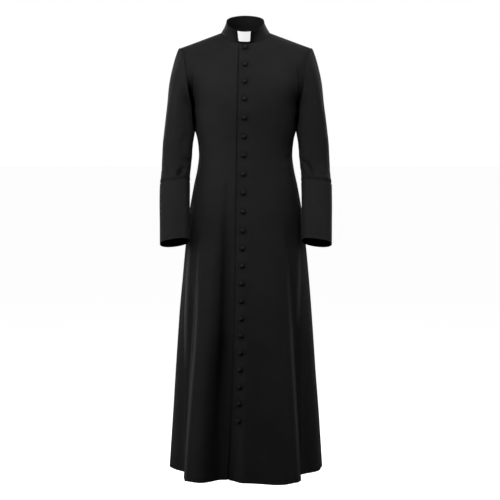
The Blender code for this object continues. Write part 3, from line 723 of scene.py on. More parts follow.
def grid_normals(grid, closed=False):
    """Unit normals of a grid of points, from its own neighbours."""
    along = np.gradient(grid, axis=1)
    if closed:
        along = 0.5 * (np.roll(grid, -1, axis=1) - np.roll(grid, 1, axis=1))
    return unit(np.cross(along, np.gradient(grid, axis=0)))


def arc_lengths(grid, axis):
    steps = np.linalg.norm(np.diff(grid, axis=axis), axis=-1)
    lengths = np.cumsum(steps, axis=axis)
    pad = [(0, 0), (0, 0)]
    pad[axis] = (1, 0)
    return np.pad(lengths, pad)


EDGE_STEPS = np.array((0.0007, 0.0014, 0.0022, 0.0031, 0.0042, 0.0056, 0.0075, 0.0100))


def graded(count, length, first=True, last=True):
    """Shares from 0 to 1, even but for closer ones beside the ends that are edges."""
    shares = np.linspace(0.0, 1.0, count)
    near = EDGE_STEPS / length
    if first:
        shares = np.concatenate([[0.0], near, shares[shares > 1.2 * near[-1]]])
    if last:
        kept = shares[shares < 1.0 - 1.2 * near[-1]]
        shares = np.concatenate([kept, 1.0 - near[::-1], [1.0]])
    return shares


def edge_distances(grid):
    """Distances of each point from the first and last columns and rows of a sheet."""
    across, along = arc_lengths(grid, 1), arc_lengths(grid, 0)
    return across, across[:, -1:] - across, along, along[-1:, :] - along


SEAM_RISE = 0.0018
SEAM_REACH = 0.0140


def seam_relief(distance, puff):
    """Cloth rises steeply beside a seam, which is left as a groove, and then sinks back."""
    return puff * (1.0 - bump(distance, 0.0, SEAM_RISE)) * bump(distance, 0.0, SEAM_REACH)


# Each edge of a sheet, and the line beside it.
EDGES = {
    "low": (np.s_[0], np.s_[1]),
    "top": (np.s_[-1], np.s_[-2]),
    "first": (np.s_[:, 0], np.s_[:, 1]),
    "last": (np.s_[:, -1], np.s_[:, -2]),
}


def shift_seams(grid, names):
    """Moves the edges that are seams, so that the cloth reaches past them."""
    for edge, inside in (EDGES[name] for name in names):
        grid[edge] += unit(grid[inside] - grid[edge]) * SEAM_SHIFT


def link_object(name, data):
    thing = bpy.data.objects.new(name, data)
    bpy.context.scene.collection.objects.link(thing)
    return thing


def set_values(mesh, values):
    """Stores a number for each vertex under each name."""
    for name, numbers in values.items():
        layer = mesh.attributes.new(name, "FLOAT", "POINT")
        layer.data.foreach_set("value", np.asarray(numbers, np.float32))


def border_lines(index, closed):
    """The vertices along the rims of a sheet: one round it, or two if it is a tube."""
    if closed:
        return [index[0, :], index[-1, :]]
    return [np.concatenate([index[0, :], index[1:, -1], index[-1, -2::-1], index[-2:0:-1, 0]])]


def build_sheet(name, grid, normals, thickness, shine_and_painted_shading, closed=False):
    """A thin shell: outer face on grid, inner face thickness behind it, round rims."""
    rows, columns = grid.shape[:2]
    half = thickness / 2
    middle = grid - normals * half
    outer, inner = grid.copy(), grid - normals * thickness
    for edge in ("low", "top") if closed else ("low", "top", "first", "last"):
        line, inside = EDGES[edge]
        step = unit(grid[inside] - grid[line]) * half
        outer[line] += step
        inner[line] += step

    count = rows * columns
    index = np.arange(count).reshape(rows, columns)
    ring = border_lines(index, closed)
    rim_points, rim_faces, total = [], [], 2 * count
    for number, line in enumerate(ring):
        mids = np.arange(total, total + len(line))
        total += len(line)
        rim_points.append(middle.reshape(-1, 3)[line])
        after, mids_after = np.roll(line, -1), np.roll(mids, -1)
        outer_half = np.stack([line, mids, mids_after, after], axis=1)
        inner_half = np.stack([mids, line + count, after + count, mids_after], axis=1)
        faces = np.concatenate([outer_half, inner_half])
        rim_faces.append(faces[:, ::-1] if number == 1 else faces)

    c = np.arange(columns if closed else columns - 1)
    n = (c + 1) % columns
    r = np.arange(rows - 1)[:, None]
    quads = np.stack([index[r, c], index[r, n], index[r + 1, n], index[r + 1, c]], axis=-1)
    quads = quads.reshape(-1, 4)
    faces = np.concatenate([quads, quads[:, ::-1] + count] + rim_faces)
    verts = np.concatenate([outer.reshape(-1, 3), inner.reshape(-1, 3)] + rim_points)

    mesh = bpy.data.meshes.new(name)
    mesh.vertices.add(len(verts))
    mesh.vertices.foreach_set("co", verts.astype(np.float32).ravel())
    mesh.loops.add(faces.size)
    mesh.loops.foreach_set("vertex_index", faces.astype(np.int32).ravel())
    mesh.polygons.add(len(faces))
    mesh.polygons.foreach_set("loop_start", np.arange(0, faces.size, 4, dtype=np.int32))
    mesh.update(calc_edges=True)
    mesh.validate()
    mesh.shade_smooth()

    across, along = arc_lengths(grid, 1), arc_lengths(grid, 0)
    told = {"across": across - across[:, :1].mean(), "along": along, "shine_and_painted_shading": shine_and_painted_shading}
    for key, value in told.items():
        flat = np.broadcast_to(value, (rows, columns)).ravel()
        told[key] = np.concatenate([flat, flat] + [flat[line] for line in ring])
    set_values(mesh, told)
    return link_object(name, mesh)


# ------------------------------------------------------------ materials


def set_inputs(node, inputs):
    """Sets a node's inputs to constants, or joins them to other nodes' outputs."""
    for key, value in inputs.items():
        if isinstance(value, bpy.types.NodeSocket):
            node.id_data.links.new(value, node.inputs[key])
        else:
            node.inputs[key].default_value = value


def add_node(tree, kind, inputs, output=0, **settings):
    """Adds a node, and gives one of its outputs."""
    node = tree.nodes.new("ShaderNode" + kind)
    for key, value in settings.items():
        setattr(node, key, value)
    set_inputs(node, inputs)
    return node.outputs[output]


def new_material(name):
    """A material, its nodes and its shader."""
    material = bpy.data.materials.new(name)
    material.use_nodes = True
    return material, material.node_tree, material.node_tree.nodes["Principled BSDF"]


TWILL_RISE = (0.87, 0.50)  # along a thread at 60 degrees
THREAD_SHARE = 0.45
THREAD_PITCH = 0.62
WEAVE_STRENGTH = 0.55
FUZZ_SCALE = 2600.0
FUZZ_SHARE = 0.9
CLOUD_SCALE = 9.0
CLOUD_SHADE = 0.12
RIB_SHADE = 0.10
CLOTH_SPECULAR = 0.18
CLOTH_GLOSS_RANGE = 0.04
PLAIN_GLOSS_RANGE = 0.06


def cloth_material(name, color, roughness, sheen, weave_size, weave_depth, shine_and_painted_shading):
    """Worsted: a fine twill in the cloth's own directions, a little fuzz, and the painted light and shade
    stored on its vertices.
    """
    material, tree, shader = new_material(name)

    def work(operation, first, second=0.0):
        return add_node(tree, "Math", {0: first, 1: second}, operation=operation)

    def stored(key):
        return add_node(tree, "Attribute", {}, "Fac", attribute_name=key)

    def wave_along(x_share, y_share, operation, pitch):
        place = work(operation, work("MULTIPLY", across, x_share), work("MULTIPLY", along, y_share))
        return work("SINE", work("MULTIPLY", place, 2 * math.pi / pitch))

    def noise(scale, detail):
        return add_node(tree, "TexNoise", {"Scale": scale, "Detail": detail, "Vector": place}, "Fac")

    def ranged(value, start, end, low, high):
        limits = {"From Min": start, "From Max": end, "To Min": low, "To Max": high}
        return add_node(tree, "MapRange", {"Value": value, **limits}, "Result")

    across, along = stored("across"), stored("along")
    place = add_node(tree, "CombineXYZ", {"X": across, "Y": along})
    # twill: ribs that climb at 60 degrees, broken up by the threads that cross them
    up, over = TWILL_RISE
    rib = wave_along(up, over, "ADD", weave_size)
    thread = wave_along(over, up, "SUBTRACT", THREAD_PITCH * weave_size)
    weave = work("ADD", rib, work("MULTIPLY", thread, THREAD_SHARE))
    height = work("ADD", weave, work("MULTIPLY", noise(FUZZ_SCALE, 2.0), FUZZ_SHARE))
    relief = {"Strength": WEAVE_STRENGTH, "Distance": weave_depth, "Height": height}

    # slow change of shade, as dyed and worn cloth has
    cloud = noise(CLOUD_SCALE, 4.0)
    # painted shading: the stored values darken the colour where shade falls and lighten it as a painted
    # highlight, with some real iron shine on pressed edges; the same tone scales the specular and sheen
    # below
    painted_tone = work("MULTIPLY", stored("shine_and_painted_shading"), shine_and_painted_shading)
    tone = work("ADD", ranged(cloud, 0.30, 0.70, 1.0 - CLOUD_SHADE, 1.0 + CLOUD_SHADE), painted_tone)
    tone = work("ADD", tone, work("MULTIPLY", rib, RIB_SHADE))
    rough = ranged(cloud, 0.25, 0.75, roughness - CLOTH_GLOSS_RANGE, roughness + CLOTH_GLOSS_RANGE)
    set_inputs(shader, {
        "Base Color": add_node(tree, "VectorMath", {0: color, "Scale": tone}, operation="SCALE"),
        "Roughness": rough,
        "Specular IOR Level": work("MULTIPLY", tone, CLOTH_SPECULAR),
        "Sheen Weight": work("MULTIPLY", tone, sheen),
        "Sheen Roughness": 0.35,
        "Sheen Tint": (1.0, 1.0, 1.0, 1.0),
        "Normal": add_node(tree, "Bump", relief, "Normal"),
    })
    return material


def plain_material(name, color, roughness, specular, grain):
    """Smooth moulded or spun material with a fine grain in its gloss."""
    material, tree, shader = new_material(name)
    place = add_node(tree, "TexCoord", {}, "Object")
    noise = add_node(tree, "TexNoise", {"Scale": grain, "Detail": 3.0, "Vector": place}, "Fac")
    low, high = roughness - PLAIN_GLOSS_RANGE, roughness + PLAIN_GLOSS_RANGE
    gloss = {"Value": noise, "To Min": low, "To Max": high}
    set_inputs(shader, {
        "Base Color": (*color, 1.0),
        "Roughness": add_node(tree, "MapRange", gloss, "Result"),
        "Specular IOR Level": specular,
    })
    return material


CLOTH_LOOK = cloth_material("black worsted", (0.0085, 0.0085, 0.0090), 0.78, 0.03, 0.0011, 0.00018, 1.3)
BUTTON_LOOK = cloth_material("button cloth", (0.0080, 0.0080, 0.0084), 0.58, 0.03, 0.0007, 0.00010, 1.0)
THREAD_LOOK = plain_material("black thread", (0.010, 0.010, 0.011), 0.55, 0.35, 900.0)
TAB_LOOK = plain_material("white tab", (0.70, 0.70, 0.69), 0.38, 0.45, 60.0)


def dress(thing, material, slot, *nodes):
    thing.data.materials.append(material)
    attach(thing, "root")
    if nodes:
        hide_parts(*nodes)


def make_cloth(node, grid, shine_and_painted_shading, closed=False):
    """The cloth of a node, from the points of its outer face. Gives the face's normals."""
    normals = grid_normals(grid, closed)
    thing = build_sheet(node + "_cloth", grid, normals, CLOTH, shine_and_painted_shading, closed)
    dress(thing, CLOTH_LOOK, "cloth", node)
    return normals


# ------------------------------------------------------------ body panels

LOW_SKIRT_Z = -0.62
# Rows and columns of the panels' grids, some with the length that they cover.
SKIRT_ROWS = 92
WAIST_ROWS = 94
BODICE_ROWS = (58, 0.22)
LEFT_COLUMNS = (96, 0.24)
RIGHT_COLUMNS = (88, 0.22)
UNDERLAP_COLUMNS = (8, 0.045)
BACK_COLUMNS = (88, 0.26)
SIDE_PUFF = 0.0004
STITCH_INSET = 0.0038
GROOVE_WIDTH = 0.0010
LAP_GROOVE = 0.0007
LAP_ROLL = 0.0006
LAP_ROLL_WIDTH = 0.0020
LAP_SPAN = 14.0
LAP_FALL = 0.0040
LAP_FALL_SPAN = 3.5
LOW_LAP = (-0.80, 0.64)
# The groove under the lap's edge: depth, place and width, and how they change to the hem.
GROOVE_TOP = (0.0030, -0.0002, 0.0024)
GROOVE_GROWTH = (0.0035, -0.0010, 0.0016)
# How far cloth is evened out along rows and columns, and where.
ROW_REACH = 0.014
COLUMN_REACH = 0.017
UNDERARM_REACH = 0.05
PANEL_MARGIN = 0.04
# Creases end this near the neckline and the armhole.
CALM_REACH = 0.02
CALM_RUN = 0.05
# The hollow beside the armhole's seam, which stays up as a ridge.
ARMHOLE_DIP = 0.0042
ARMHOLE_DIP_REACH = 0.0130
ARMHOLE_RIDGE = 0.0035
ARMHOLE_DIP_STRETCH = (-0.33, 0.06, -0.070, 0.06)
# Painted shade on the body beside the armholes, standing for the light that the arms keep off.
SIDE_SHADE = 0.58
LEFT_SHADE_REACH = 0.060
RIGHT_SHADE_REACH = 0.040
RIGHT_EDGE_SHADE = 0.22
RIGHT_EDGE_REACH = 0.010
# Painted shadow round each button seat, deeper round the first, and under the collar's tab.
SEAT_SHADE = (0.24, 0.013)
FIRST_SEAT_SHADE = (0.28, 0.010)
TAB_SHADE = 0.45
TAB_SHADE_REACH = 0.005
TAB_SHADE_X = (0.002, 0.018)


def body_rows():
    low = mix(HEM_Z, LOW_SKIRT_Z, graded(SKIRT_ROWS, LOW_SKIRT_Z - HEM_Z, last=False))
    high = np.linspace(LOW_SKIRT_Z, UNDERARM_Z, WAIST_ROWS)[1:]
    # even in height at the underarm, and even in level where the cloth turns over the shoulder
    share = graded(*BODICE_ROWS, first=False)[1:]
    bodice = mix(np.sqrt(share), share, 0.5)
    return np.concatenate([level_of(low), level_of(high), bodice])[:, None]


def base_z(level):
    """Height of a level below the underarm."""
    return mix(UNDERARM_Z, HEM_Z, np.maximum(-level, 0.0))


def lap_angles(level):
    """Angles of the lap's edge and of the underlap's edge on each row."""
    return front_angle_at(LAP_EDGE, level), front_angle_at(UNDER_EDGE, level)


def lap_lift(angle, lap, under, z):
    """How far the left front is held off the right one that it laps over."""
    step = LAP_STEP * (1.0 - ease((angle - under) / LAP_SPAN))
    return step + LAP_FALL * below(z, *LOW_LAP) * bump(angle, lap, LAP_FALL_SPAN)


def smoother(places, reach):
    """Matrix that evens out values at uneven places and leaves straight runs straight."""
    away = places[None, :] - places[:, None]
    weight = np.exp(-0.5 * (away / reach) ** 2) * np.abs(np.gradient(places))[None, :]
    s0, s1, s2 = (np.sum(weight * away**k, axis=1, keepdims=True) for k in range(3))
    return weight * (s2 - away * s1) / (s0 * s2 - s1 * s1)


def armhole_distance(angle, first, last):
    """Distance from the side of a panel that runs up the armhole."""
    return first if abs(abs(angle[0, 0]) - 90.0) < 1.0 else last


def relaxed(grid, normals, angle):
    """Eases the bend across the underarm line and below the corners of the neckline."""
    first, last, _, top = edge_distances(grid)
    z = grid[..., 2]
    rows = smoother(z[:, z.shape[1] // 2], ROW_REACH)
    off_armhole = above(armhole_distance(angle, first, last), 0.004, 0.035)
    near_line = bump(z, UNDERARM_Z, UNDERARM_REACH) * off_armhole
    columns = smoother(angle.mean(axis=0) * BODY_PER_DEGREE, COLUMN_REACH).T
    upper = above(top, 0.003, 0.028) * above(z, UNDERARM_Z, 0.11)
    inside = upper * ease(first / PANEL_MARGIN) * ease(last / PANEL_MARGIN)
    result = []
    for values in (grid, normals):
        even = np.tensordot(rows, values, axes=(1, 0))
        values = mix(values, even, near_line[..., None])
        even = np.einsum("rcx,cd->rdx", values, columns)
        result.append(mix(values, even, inside[..., None]))
    return result[0], unit(result[1])


def body_panel(surface, angle, level, lift, seams):
    """Grid of a panel, and its iron shine with painted light and shade. seams names the edges that are
    seams.
    """
    angle, level = np.broadcast_arrays(angle, level)
    base, normals = relaxed(surface(angle, level), normals_of(surface, angle, level), angle)
    z = base[..., 2]
    panel_shine_and_painted_shading = crease_offset(SHINE_AND_PAINTED_SHADING_LINES, angle, z, BODY_PER_DEGREE)
    offset = body_detail(angle, z) + lift + SHINE_RISE * panel_shine_and_painted_shading
    first, last, _, top = edge_distances(base)
    armhole = armhole_distance(angle, first, last)
    for distance in (top, armhole):
        calm = (1.0 - ease(distance / CALM_REACH)) * above(z, UNDERARM_Z, CALM_RUN)
        offset = offset * (1.0 - calm)
    dip = (1.0 - bump(armhole, 0.0, ARMHOLE_RIDGE)) * bump(armhole, 0.0, ARMHOLE_DIP_REACH)
    offset = offset - ARMHOLE_DIP * dip * between(z, *ARMHOLE_DIP_STRETCH)
    distances = {"first": first, "last": last, "top": top}
    for name in seams:
        offset = offset + seam_relief(distances[name], SIDE_PUFF)
    if "first" not in seams:
        offset = offset - LAP_GROOVE * bump(first, STITCH_INSET, GROOVE_WIDTH)
        offset = offset + LAP_ROLL * bump(first, 0.0, LAP_ROLL_WIDTH)
    grid = base + normals * offset[..., None]
    shift_seams(grid, seams)
    grid[..., 2] -= hem_drop(angle, z)
    # painted shade beside the armhole
    reach = np.where(angle > 0.0, LEFT_SHADE_REACH, RIGHT_SHADE_REACH)
    close = SIDE_SHADE * bump(armhole, 0.0, reach)
    close = close + RIGHT_EDGE_SHADE * (angle < 0.0) * bump(armhole, 0.0, RIGHT_EDGE_REACH)
    return grid, panel_shine_and_painted_shading - close * under_arm_shade(angle, z)


def front_left(seats):
    level = body_rows()
    lap, under = lap_angles(level)
    angle = mix(lap, 90.0, graded(*LEFT_COLUMNS))
    lift = lap_lift(angle, lap, under, base_z(level))
    grid, panel_shine_and_painted_shading = body_panel(front_surface, angle, level, lift, ("last", "top"))
    # painted shadow round the buttons and under the tab
    for seat, shade, reach in (*((seat, *SEAT_SHADE) for seat in seats), (seats[0], *FIRST_SEAT_SHADE)):
        panel_shine_and_painted_shading = panel_shine_and_painted_shading - shade * bump(np.linalg.norm(grid - seat, axis=-1), 0.0, reach)
    top = edge_distances(grid)[3]
    return grid, panel_shine_and_painted_shading - TAB_SHADE * bump(top, 0.0, TAB_SHADE_REACH) * bump(grid[..., 0], *TAB_SHADE_X)


def front_right():
    level = body_rows()
    lap, under = lap_angles(level)
    outer = mix(-90.0, lap, graded(*RIGHT_COLUMNS))
    hidden = mix(lap, under, graded(*UNDERLAP_COLUMNS)[1:])
    angle = np.concatenate([outer, hidden], axis=1)
    from_lap = (angle - lap) * BODY_PER_DEGREE
    low = below(base_z(level), *LOW_LAP)
    depth, place, width = (top + growth * low for top, growth in zip(GROOVE_TOP, GROOVE_GROWTH))
    lift = -depth * bump(from_lap, place, width)
    return body_panel(front_surface, angle, level, lift, ("first", "top"))


def back_panel(side):
    angle = side * mix(90.0, 180.0, graded(*BACK_COLUMNS))
    return body_panel(back_surface, angle[::side], body_rows(), 0.0, ("first", "last", "top"))


def make_body(seats):
    """Makes the panels, and gives the line of stitches along the lap."""
    for node, (grid, shine_and_painted_shading) in (
        ("front_left", front_left(seats)),
        ("front_right", front_right()),
        ("back_left", back_panel(1)),
        ("back_right", back_panel(-1)),
    ):
        normals = make_cloth(node, grid, shine_and_painted_shading)
        if node == "front_left":
            lap_line = inset_line(grid, normals, STITCH_INSET, "first")
    return [lap_line]


# ------------------------------------------------------------ sleeves and cuffs

FOREARM_ROWS = 96
HEAD_ROWS = (52, 0.12)
SLEEVE_PER_DEGREE = 0.0011
SLEEVE_HEAD_PUFF = 0.0026
FRONT_HEAD_PUFF = 0.0022
FRONT_HEAD_NEAR = 0.6
INNER_STRETCH = (-130.0, 30.0, -54.0, 9.0)
# Painted shade along the head's seam and painted light on the head's front.
HEAD_SHADE = 0.50
HEAD_SHADE_REACH = 0.0022
HEAD_LIGHT_PLACE = (0.0100, 0.0070)
HEAD_LIGHT_TURN = (-18.0, 26.0)
CUFF_LIFT = 0.0005
CUFF_SWAY = 0.0007
CUFF_SWAY_RUN = 0.03
CUFF_PAINTED_LIGHT = 0.08  # painted light: the turned-back cloth is a little lighter than the rest
CUFF_GROOVE = 0.0006
CUFF_GROOVE_WIDTH = 0.0011
CUFF_STITCHES = (("top", 0.0035), ("low", 0.0105))
CUFF_COLUMNS = 104
CUFF_ROWS = 46
SLEEVE_PARTS = (
    ("sleeve_top_", FRONT_ARM_SEAM, BACK_ARM_SEAM, 104),
    ("sleeve_under_", BACK_ARM_SEAM, 360.0 + FRONT_ARM_SEAM, 48),
)


def sleeve_panel(arm, start, stop, columns):
    fore = arm_level(np.linspace(WRIST_Z, ARM_TOP_Z, FOREARM_ROWS))
    head = graded(*HEAD_ROWS, first=False)[1:]
    level = np.concatenate([fore, head])[:, None]
    angle = mix(start, stop, graded(columns, SLEEVE_PER_DEGREE * (stop - start)))[None, :]
    angle, level = np.broadcast_arrays(angle, level)
    base = arm_surface(angle, level)
    normals = normals_of(arm_surface, angle, level)
    ring_z = mix(ARM_TOP_Z, WRIST_Z, -np.minimum(level, 0.0))
    height = np.where(level <= 0.0, ring_z, base[..., 2])
    first, last, _, top = edge_distances(base)
    offset = arm_detail(arm, angle, height, level)
    offset = offset + seam_relief(first, SIDE_PUFF) + seam_relief(last, SIDE_PUFF)
    front_puff = FRONT_HEAD_PUFF * np.maximum(0.0, cosd(angle))
    offset = offset + seam_relief(top, SLEEVE_HEAD_PUFF) + seam_relief(FRONT_HEAD_NEAR * top, front_puff)
    grid = base + normals * offset[..., None]
    shift_seams(grid, ("first", "last", "top"))
    turned = wrapped(angle)
    # painted shade on the side towards the body and along the head's seam, and painted light on the
    # head's front
    inside = between(turned, *INNER_STRETCH)
    shade = -arm.inner_shade * inside - HEAD_SHADE * bump(top, 0.0, HEAD_SHADE_REACH) * (1.0 - inside)
    shade = shade + arm.head_light * bump(top, *HEAD_LIGHT_PLACE) * bump(turned, *HEAD_LIGHT_TURN)
    # painted shade by the elbow
    dark = crease_offset(arm.dents, turned, height, ARM_PER_DEGREE)
    return grid, shade * under_arm_shade(arm.side, base[..., 2]) + dark


def cuff(arm):
    z = mix(WRIST_Z, CUFF_TOP_Z, graded(CUFF_ROWS, CUFF_TOP_Z - WRIST_Z))[:, None]
    angle = (-90.0 + 360.0 * np.arange(CUFF_COLUMNS) / CUFF_COLUMNS)[None, :]
    angle, z = np.broadcast_arrays(angle, z)
    level = arm_level(z)
    base = arm_surface(angle, level)
    normals = normals_of(arm_surface, angle, level)
    sway = CUFF_SWAY * wave_around(31 + arm.side, 4, angle, 3.0, z * 16.0)
    lift = LAP_STEP + CUFF_LIFT + sway * np.clip((CUFF_TOP_Z - z) / CUFF_SWAY_RUN, 0.0, 1.0)
    lift = lift + arm.cuff_spread * np.maximum(0.0, sind(angle)) ** 2
    lift = lift + flat_front(wrapped(angle))
    _, _, low, top = edge_distances(base)
    for edge, inset in CUFF_STITCHES:
        lift = lift - CUFF_GROOVE * bump(top if edge == "top" else low, inset, CUFF_GROOVE_WIDTH)
    return base + normals * lift[..., None]


def mirrored(grid):
    return (grid * np.array((-1.0, 1.0, 1.0)))[:, ::-1]


def make_sleeves():
    """Makes the sleeves and cuffs, and gives the lines of stitches on the cuffs."""
    lines = []
    for arm in ARMS:
        for part, *span in SLEEVE_PARTS:
            grid, shade = sleeve_panel(arm, *span)
            if arm.side < 0:
                grid, shade = mirrored(grid), shade[:, ::-1]
            make_cloth(part + arm.word, grid, shade)
        grid = cuff(arm) if arm.side > 0 else mirrored(cuff(arm))
        normals = make_cloth("cuff_" + arm.word, grid, CUFF_PAINTED_LIGHT, closed=True)
        for edge, inset in CUFF_STITCHES:
            lines.append(inset_line(grid, normals, inset, edge, closed=True))
    return lines


# ------------------------------------------------------------ collar and tab

COLLAR_ROWS = (22, 0.045)
COLLAR_COLUMNS = (128, 0.37)
# Painted shade over the whole band, and more beside the opening's ends.
COLLAR_SHADE = 0.12
COLLAR_END_SHADE = (0.50, 0.38)
COLLAR_SHADE_REACH = (0.016, 0.040)  # at the seam and at the top
RIGHT_END_REACH = 0.7
COLLAR_SEAM_CLEAR = 0.012
COLLAR_END_ROLL = 0.0030
COLLAR_END_REACH = 0.0052
COLLAR_STITCH_INSET = 0.0032
COLLAR_GROOVE = 0.0005
COLLAR_SWAY = 0.0004
TAB_ROWS = (24, 0.035)
TAB_COLUMNS = (34, 0.055)
TAB_RUN = 0.041
TAB_THICKNESS = 0.0011


def gap_sides(height):
    """x of the two ends of the collar, on either side of the opening."""
    return (mix(a, b, height) for a, b in zip(COLLAR_GAP_BASE, COLLAR_GAP_TOP))


def collar_normals(turn, height):
    return normals_of(collar_surface, turn, np.clip(height, 0.01, 0.99))


def collar_panel():
    height = graded(*COLLAR_ROWS)[:, None]
    right, left = gap_sides(height)
    start, stop = collar_turn_at(left, height), 360.0 + collar_turn_at(right, height)
    turn = mix(start, stop, graded(*COLLAR_COLUMNS)[None, :])
    height = np.broadcast_to(height, turn.shape)
    base = collar_surface(turn, height)
    first, last, low, top = edge_distances(base)
    offset = seam_relief(low, SIDE_PUFF)
    curl = np.maximum(0.0, 1.0 - np.minimum(first, last) / COLLAR_END_REACH)
    offset = offset - COLLAR_END_ROLL * curl**2
    offset = offset - COLLAR_GROOVE * bump(top, COLLAR_STITCH_INSET, GROOVE_WIDTH)
    sway = COLLAR_SWAY * wave(41, 4, np.radians(turn) * 2.5, height * 2.0)
    offset = offset + sway * ease(low / COLLAR_SEAM_CLEAR)
    grid = base + collar_normals(turn, height) * offset[..., None]
    shift_seams(grid, ("low",))
    # painted shade, darker towards the ends at the opening
    reach = mix(*COLLAR_SHADE_REACH, height)
    left_shade, right_shade = COLLAR_END_SHADE
    ends = left_shade * bump(first, 0.0, reach)
    ends = ends + right_shade * bump(last, 0.0, RIGHT_END_REACH * reach)
    return grid, -COLLAR_SHADE - ends


def make_collar():
    """Makes the band, and gives the line of stitches along its top."""
    grid, shade = collar_panel()
    normals = make_cloth("collar_band", grid, shade)
    return [inset_line(grid, normals, COLLAR_STITCH_INSET, "top")]


def make_tab():
    height = mix(TAB_LOW, TAB_HIGH, graded(*TAB_ROWS))[:, None]
    right, left = gap_sides(height)
    corner = np.maximum(0.0, TAB_CORNER - (height - TAB_LOW) * TAB_RUN)
    tuck = TAB_TUCK - TAB_CORNER + np.sqrt(TAB_CORNER**2 - corner**2)
    start, stop = collar_turn_at(right - tuck, height), collar_turn_at(left + tuck, height)
    turn = mix(start, stop, graded(*TAB_COLUMNS)[None, :])
    height = np.broadcast_to(height, turn.shape)
    grid = collar_surface(turn, height) - collar_normals(turn, height) * TAB_INSET
    thing = build_sheet("collar_tab_plastic", grid, grid_normals(grid), TAB_THICKNESS, 0.0)
    dress(thing, TAB_LOOK, "tab", "collar_tab")


# ------------------------------------------------------------ buttons and buttonholes

BUTTON_RIM = 0.0024
# painted shade, darker towards each button's rim
BUTTON_RIM_SHADE = -0.62
BUTTON_SIDES = 28
BUTTON_SPIN = 2.4
BUTTON_WEAVE_SCALE = 1.3
BUTTON_TURNS = (82, 72, 61, 50, 39, 28, 18, 9, 0, -14, -32)
BUTTON_BACK = ((0.0058, 0.0), (0.0040, 0.0001), (1e-5, 0.0001))
SEAT_GAP = 0.0003
BUTTONHOLE_HALF = 0.0100
BUTTONHOLE_WIDTH = 0.0010
BUTTONHOLE_SHIFT = -0.0048
BUTTONHOLE_SINK = 0.0004
BUTTONHOLE_STEPS = 56
BUTTONHOLE_END_POWER = -0.3
TWIST = 0.16  # how much thicker and thinner the worked thread is by turns
THREAD_SIDES = 6
THREAD_THICK = 0.00055


def button_seats():
    """Points and outward normals of the front under the buttons."""
    numbers = np.arange(1, BUTTON_COUNT + 1)
    heights = np.interp(numbers, BUTTON_ROWS[:, 0], BUTTON_ROWS[:, 1])
    level = np.linspace(-1.0, 1.0, 400)
    height = front_surface(front_angle_at(BUTTON_LINE, level), level)[:, 2]
    level = np.interp(heights, height, level)
    angle = front_angle_at(BUTTON_LINE, level)
    base, normals = front_surface(angle, level), normals_of(front_surface, angle, level)
    lift = body_detail(angle, base[:, 2]) + lap_lift(angle, *lap_angles(level), base[:, 2])
    return base + normals * (lift + SEAT_GAP)[:, None], normals


def tube_faces(rings, sides, closed=False):
    """Quads between rings of points that follow one another."""
    faces = []
    for k in range(rings if closed else rings - 1):
        a, b = k * sides, (k + 1) % rings * sides
        for j in range(sides):
            n = (j + 1) % sides
            faces.append((a + j, b + j, b + n, a + n))
    return np.array(faces)


def frame_of(normal):
    """Two tangents that make a right-handed frame with a normal; the second points up."""
    side = unit(np.cross(np.array((0.0, 0.0, 1.0)), normal))
    return side, np.cross(normal, side)


def mesh_piece(name, verts, faces):
    """A piece from the points and faces of its repeated parts."""
    mesh = bpy.data.meshes.new(name)
    mesh.from_pydata(np.concatenate(verts).tolist(), [], np.concatenate(faces).tolist())
    mesh.validate()
    mesh.shade_smooth()
    return link_object(name, mesh)


def button_shape():
    """Points of a domed button about +Z."""
    dome = [(1e-5, BUTTON_HEIGHT)]
    for degrees in BUTTON_TURNS:
        turn = math.radians(degrees)
        rise = BUTTON_HEIGHT - BUTTON_RIM if degrees >= 0 else BUTTON_RIM
        dome.append((BUTTON_RADIUS * math.cos(turn), BUTTON_RIM + rise * math.sin(turn)))
    turns = 2 * math.pi * np.arange(BUTTON_SIDES) / BUTTON_SIDES
    ring = np.stack([np.cos(turns), np.sin(turns)], axis=1)
    return np.array([(r * c, r * s, h) for r, h in (*dome, *BUTTON_BACK) for c, s in ring])


def make_buttons(seats):
    shape = button_shape()
    around = tube_faces(len(shape) // BUTTON_SIDES, BUTTON_SIDES)[:, ::-1]
    verts, faces = [], []
    for number, (point, normal) in enumerate(zip(*seats)):
        side, up = frame_of(normal)
        spin = BUTTON_SPIN * number
        c, s = math.cos(spin), math.sin(spin)
        x = shape[:, 0] * c - shape[:, 1] * s
        y = shape[:, 0] * s + shape[:, 1] * c
        verts.append(point + x[:, None] * side + y[:, None] * up + shape[:, 2:] * normal)
        faces.append(around + number * len(shape))
    thing = mesh_piece("buttons_covered", verts, faces)
    # painted shade towards the rims
    rim_share = np.hypot(shape[:, 0], shape[:, 1]) / BUTTON_RADIUS
    told = {
        "across": shape[:, 0] * BUTTON_WEAVE_SCALE,
        "along": shape[:, 1] * BUTTON_WEAVE_SCALE,
        "shine_and_painted_shading": BUTTON_RIM_SHADE * rim_share**2,
    }
    set_values(thing.data, {key: np.tile(value, BUTTON_COUNT) for key, value in told.items()})
    names = ["button_%02d" % number for number in range(1, BUTTON_COUNT + 1)]
    dress(thing, BUTTON_LOOK, "button", *names)


